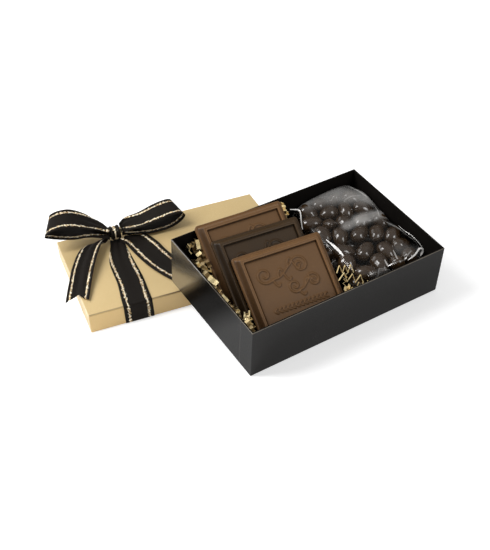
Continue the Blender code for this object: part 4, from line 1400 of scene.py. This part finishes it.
shredSizes = {
    "strip": {
        "Width": 3.8 * mm, "Thickness": 0.25 * mm, "Pitch": 2.3 * mm, "Swing": 2.6 * mm, "Folds": 7,
        "Dent Depth": 0.8 * mm,
    },
    "shortFolds": 4,
    "bankCount": 90,
    "seed": 11,
    "facing": (-0.44, 0.15, 0.52),      # added to the way to the camera, so that seen faces catch the left lamp
    "edgeLean": math.radians(18),
}

# Strips that show: tray place in mm, angle in the picture, twist (0 is edge on, 90 shows the face), length, width,
# swing and painted light, where low values paint the strip in shade
shortStrips = (
    (25.0, 144, 46, 60, 80, 0.9, 1.1, 0.7, 1.0), (17.0, 143, 43, 20, 70, 0.7, 0.7, 0.5, 0.45),
    (24.3, 136.5, 46, -80, 80, 1.35, 1.0, 0.08, 1.0), (20.3, 127.5, 45, 42, 76, 0.8, 1.1, 0.1, 1.0),
    (15.0, 136.5, 44, -80, 14, 1.5, 0.75, 0.35, 1.0), (20.0, 142, 44, -30, 70, 0.8, 0.9, 0.6, 0.6),
    (22.5, 139, 39.5, -70, 70, 1.2, 1.3, 0.6, 0.22), (21.2, 126, 39.5, -75, 70, 1.3, 1.4, 0.6, 0.25),
    (18.4, 120, 40, -40, 70, 1.2, 1.3, 0.6, 0.25), (12.8, 115, 42.5, -55, 80, 0.8, 0.8, 0.7, 1.0),
    (10.8, 121, 40, 20, 70, 0.7, 0.8, 0.7, 0.3), (15.5, 108, 42.5, 62, 70, 0.9, 1.35, 0.8, 0.45),
    (17.0, 113, 39, -60, 70, 1.2, 1.2, 0.6, 0.3), (18.5, 104, 42, 40, 60, 0.8, 1.0, 0.8, 0.7),
    (13.5, 99, 41, -42, 75, 1.3, 1.3, 0.8, 0.42), (12.5, 91, 38.5, -60, 70, 1.2, 1.2, 0.6, 0.25),
    (13.0, 86.5, 43.5, -39, 84, 1.55, 1.35, 0.25, 1.0), (12.0, 78, 40, -35, 70, 1.1, 0.9, 0.6, 0.2),
    (11.0, 66, 39, -50, 70, 1.5, 1.2, 0.5, 0.12), (9.0, 70, 40.5, -45, 70, 1.0, 0.8, 0.6, 0.16),
    (9.6, 60.5, 43.5, -45, 84, 1.15, 1.1, 0.15, 1.0), (8.5, 52, 42, -50, 70, 0.7, 0.8, 0.5, 0.35),
    (10.5, 48, 39, -50, 70, 1.3, 1.2, 0.5, 0.15), (10.9, 41.2, 44.3, 100, 78, 0.7, 1.0, 0.4, 1.0),
    (9.5, 34, 41, -60, 60, 0.8, 0.9, 0.7, 0.4), (14.3, 31.2, 46.0, 88, 72, 0.8, 1.2, 0.12, 0.55),
    (12.4, 32.3, 47.0, 86, 80, 1.0, 0.36, 0.08, 1.0), (16.1, 30.3, 48.2, 88, 80, 1.2, 0.42, 0.08, 1.0),
    (13.5, 28.7, 44.3, 8, 80, 0.65, 0.5, 0.08, 1.0), (16.3, 27.0, 43.8, 60, 78, 0.5, 0.7, 0.4, 0.95),
    (12.4, 23.0, 42.5, -50, 78, 1.1, 1.2, 0.5, 0.62), (13.4, 19.4, 41.5, -35, 70, 0.8, 0.9, 0.6, 0.3),
    (10.5, 15, 42, -60, 70, 1.0, 1.0, 0.7, 0.4), (24.0, 122, 41, -70, 76, 1.1, 1.1, 0.4, 0.14),
    (22.0, 112, 41, -62, 76, 1.1, 1.0, 0.4, 0.14), (26.0, 131, 42, -75, 76, 1.0, 1.0, 0.4, 0.14),
    (128.0, 143, 51.0, 70, 72, 0.9, 1.1, 0.7, 1.0), (127.0, 137, 50.0, -75, 60, 0.9, 1.1, 0.7, 1.0),
    (126.5, 131, 48.5, 60, 70, 0.9, 1.0, 0.7, 1.0), (124.0, 126, 45, -20, 70, 0.7, 0.8, 0.7, 0.6),
    (121.0, 17, 41, 35, 75, 1.0, 1.0, 0.7, 0.85), (118.0, 14, 41.5, 75, 60, 1.0, 0.9, 0.8, 0.75),
    (125.0, 11, 41.5, 10, 70, 1.1, 0.9, 0.6, 0.65), (131.0, 10, 41, -10, 70, 0.9, 0.8, 0.6, 0.5),
)
longStrips = (
    (131.5, 35.0, 45.5, 2, 4, 1.25, 0.6, 1.45, 1.0), (131.0, 22.0, 43.8, -8, 4, 1.85, 0.6, 1.55, 1.0),
    (124.5, 27.0, 43.0, 78, 14, 0.9, 0.6, 0.6, 0.9), (137.0, 12.0, 42.5, 8, 8, 1.0, 0.6, 0.8, 0.7),
)


def zigzagShape(step, sizes):
    # A flat strip folded to and fro
    line = step("GeometryNodeMeshLine", {"Count": sizes["Folds"], "Offset": (1, 0, 0)})["Mesh"]
    index = step("GeometryNodeInputIndex", {})[0]
    side = scaled(mathNode("MODULO", index, 2.0), 2.0, -1.0)
    middle = minus(index, times(sizes["Folds"], 0.5))
    places = {"X": times(middle, sizes["Pitch"]), "Z": times(side, sizes["Swing"])}
    zigzag = step("ShaderNodeCombineXYZ", places)["Vector"]
    folded = step("GeometryNodeSetPosition", {"Geometry": line, "Position": zigzag})["Geometry"]
    path = step("GeometryNodeMeshToCurve", {"Mesh": folded})["Curve"]
    values = {"Width": sizes["Width"], "Height": sizes["Thickness"]}
    section = step("GeometryNodeCurvePrimitiveQuadrilateral", values)["Curve"]
    return step("GeometryNodeCurveToMesh", {"Curve": path, "Profile Curve": section, "Fill Caps": True})["Mesh"]


def pictureTurn(angle, twist):
    # Euler turn, in the tray's frame, for a strip laid at an angle in the picture and twisted about its length.
    # One seen edge on is leaned a little, so that its folds show as thin bright lines.
    level = trayPlace.to_3x3().inverted()
    right, up, back = (level @ Vector(view[key]).normalized() for key in ("right", "up", "back"))
    angle, twist = math.radians(angle), math.radians(twist)
    along = right * math.cos(angle) + up * math.sin(angle)
    facing = (back + level @ Vector(shredSizes["facing"])).normalized()
    swing = (up * math.cos(angle) - right * math.sin(angle)) * math.cos(twist) + facing * math.sin(twist)
    swing = (swing - along * swing.dot(along)).normalized()
    lean = shredSizes["edgeLean"] * max(1 - twist / 0.5, 0)
    along = (along * math.cos(lean) + swing.cross(along) * math.sin(lean)).normalized()
    return Matrix((along, swing.cross(along), swing)).transposed().to_euler()


def seenLayout(strips):
    # Places, turns, grows and painted light shares
    return zip(*(
        ((x * mm, y * mm, z * mm), tuple(pictureTurn(angle, twist)), sizes, paintedLight)
        for x, y, z, angle, twist, *sizes, paintedLight in strips
    ))


# Strips below: how many, places across, along and up in mm, turn, tips and size, all as ranges
hiddenStrips = (
    (26, (114, 142), (7, 12), (14, 31), 0.4, (0, 1.4), (0.6, 0.9)),     # heap in front of the bag
    (30, (12, 108), (8, 13), (8, 18), 0.3, (0,), (0.6, 0.8)),       # along the front wall, below the front bar
    (80, (14, 212), (14, 134), (6, 9), 3, (0,), (0.6, 0.8)),        # bed under the bars' edges and the bag
)


def hiddenLayout():
    # These lie in the shade, which is painted: the lower a strip lies, the darker brown it is painted, with some random
    # spread
    rng = random.Random(shredSizes["seed"])
    rows = []

    def lay(x, y, z, turn, tip, size):
        turned = (rng.uniform(-0.5, 0.5) + tip, rng.uniform(-0.25, 0.25), turn)
        grown = (size, rng.uniform(0.85, 1.1), size * rng.uniform(0.8, 1.1))
        paintedLight = min(max((z - 22) / 22, 0.05), 1) * rng.uniform(0.7, 1.3)
        rows.append(((x * mm, y * mm, z * mm), turned, grown, paintedLight))

    for _ in range(shredSizes["bankCount"]):
        # The bank along the left wall is wider towards the back
        y = rng.uniform(12, 134)
        wide = 8 + 8 * (y - 3) / 140
        x, z = 6.5 + rng.uniform(0, wide), rng.uniform(10, 31)
        turn = rng.choice((math.pi / 2, 1.2, 1.9)) + rng.uniform(-0.4, 0.4)
        lay(x, y, z, turn, rng.choice((0, 1.4)), rng.uniform(0.7, 1.0))
    for count, *spans, turn, tips, size in hiddenStrips:
        for _ in range(count):
            place = [rng.uniform(*span) for span in spans]
            turned = rng.uniform(-turn, turn)
            lay(*place, turned, rng.choice(tips) if len(tips) > 1 else tips[0], rng.uniform(*size))
    return zip(*rows)


def makeShred():
    tree = scatterTree("crinkledShred", shredSizes["strip"], zigzagShape, 95, False)
    seenNodes = [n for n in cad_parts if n.startswith("crinkle_")]
    bedNodes = [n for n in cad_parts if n.startswith("shred_")]
    half = len(seenNodes) // 2
    clear = layout["trayWall"] + layout["seatGap"]
    far = (layout["trayLength"] - clear, layout["trayWidth"] - clear, layout["trayHeight"])
    room = np.array(((clear, clear, clear), far), np.float32)
    for name, strips, folds, nodes in (
        ("crinkledShred", hiddenLayout(), shredSizes["strip"]["Folds"], bedNodes),
        ("shortFolds", seenLayout(shortStrips), shredSizes["shortFolds"], seenNodes[:half]),
        ("longFolds", seenLayout(longStrips), shredSizes["strip"]["Folds"], seenNodes[half:]),
    ):
        places, turns, grows, paintedLights = strips
        inputs = {"Material": finishes["shred"], "Folds": folds}
        shred = scatter(name, tree, places, turns, grows, inputs, paintedLights, room)
        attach(shred, "tray")
        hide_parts(*nodes)


makeShred()
print("shred made")

bpy.context.view_layer.update()
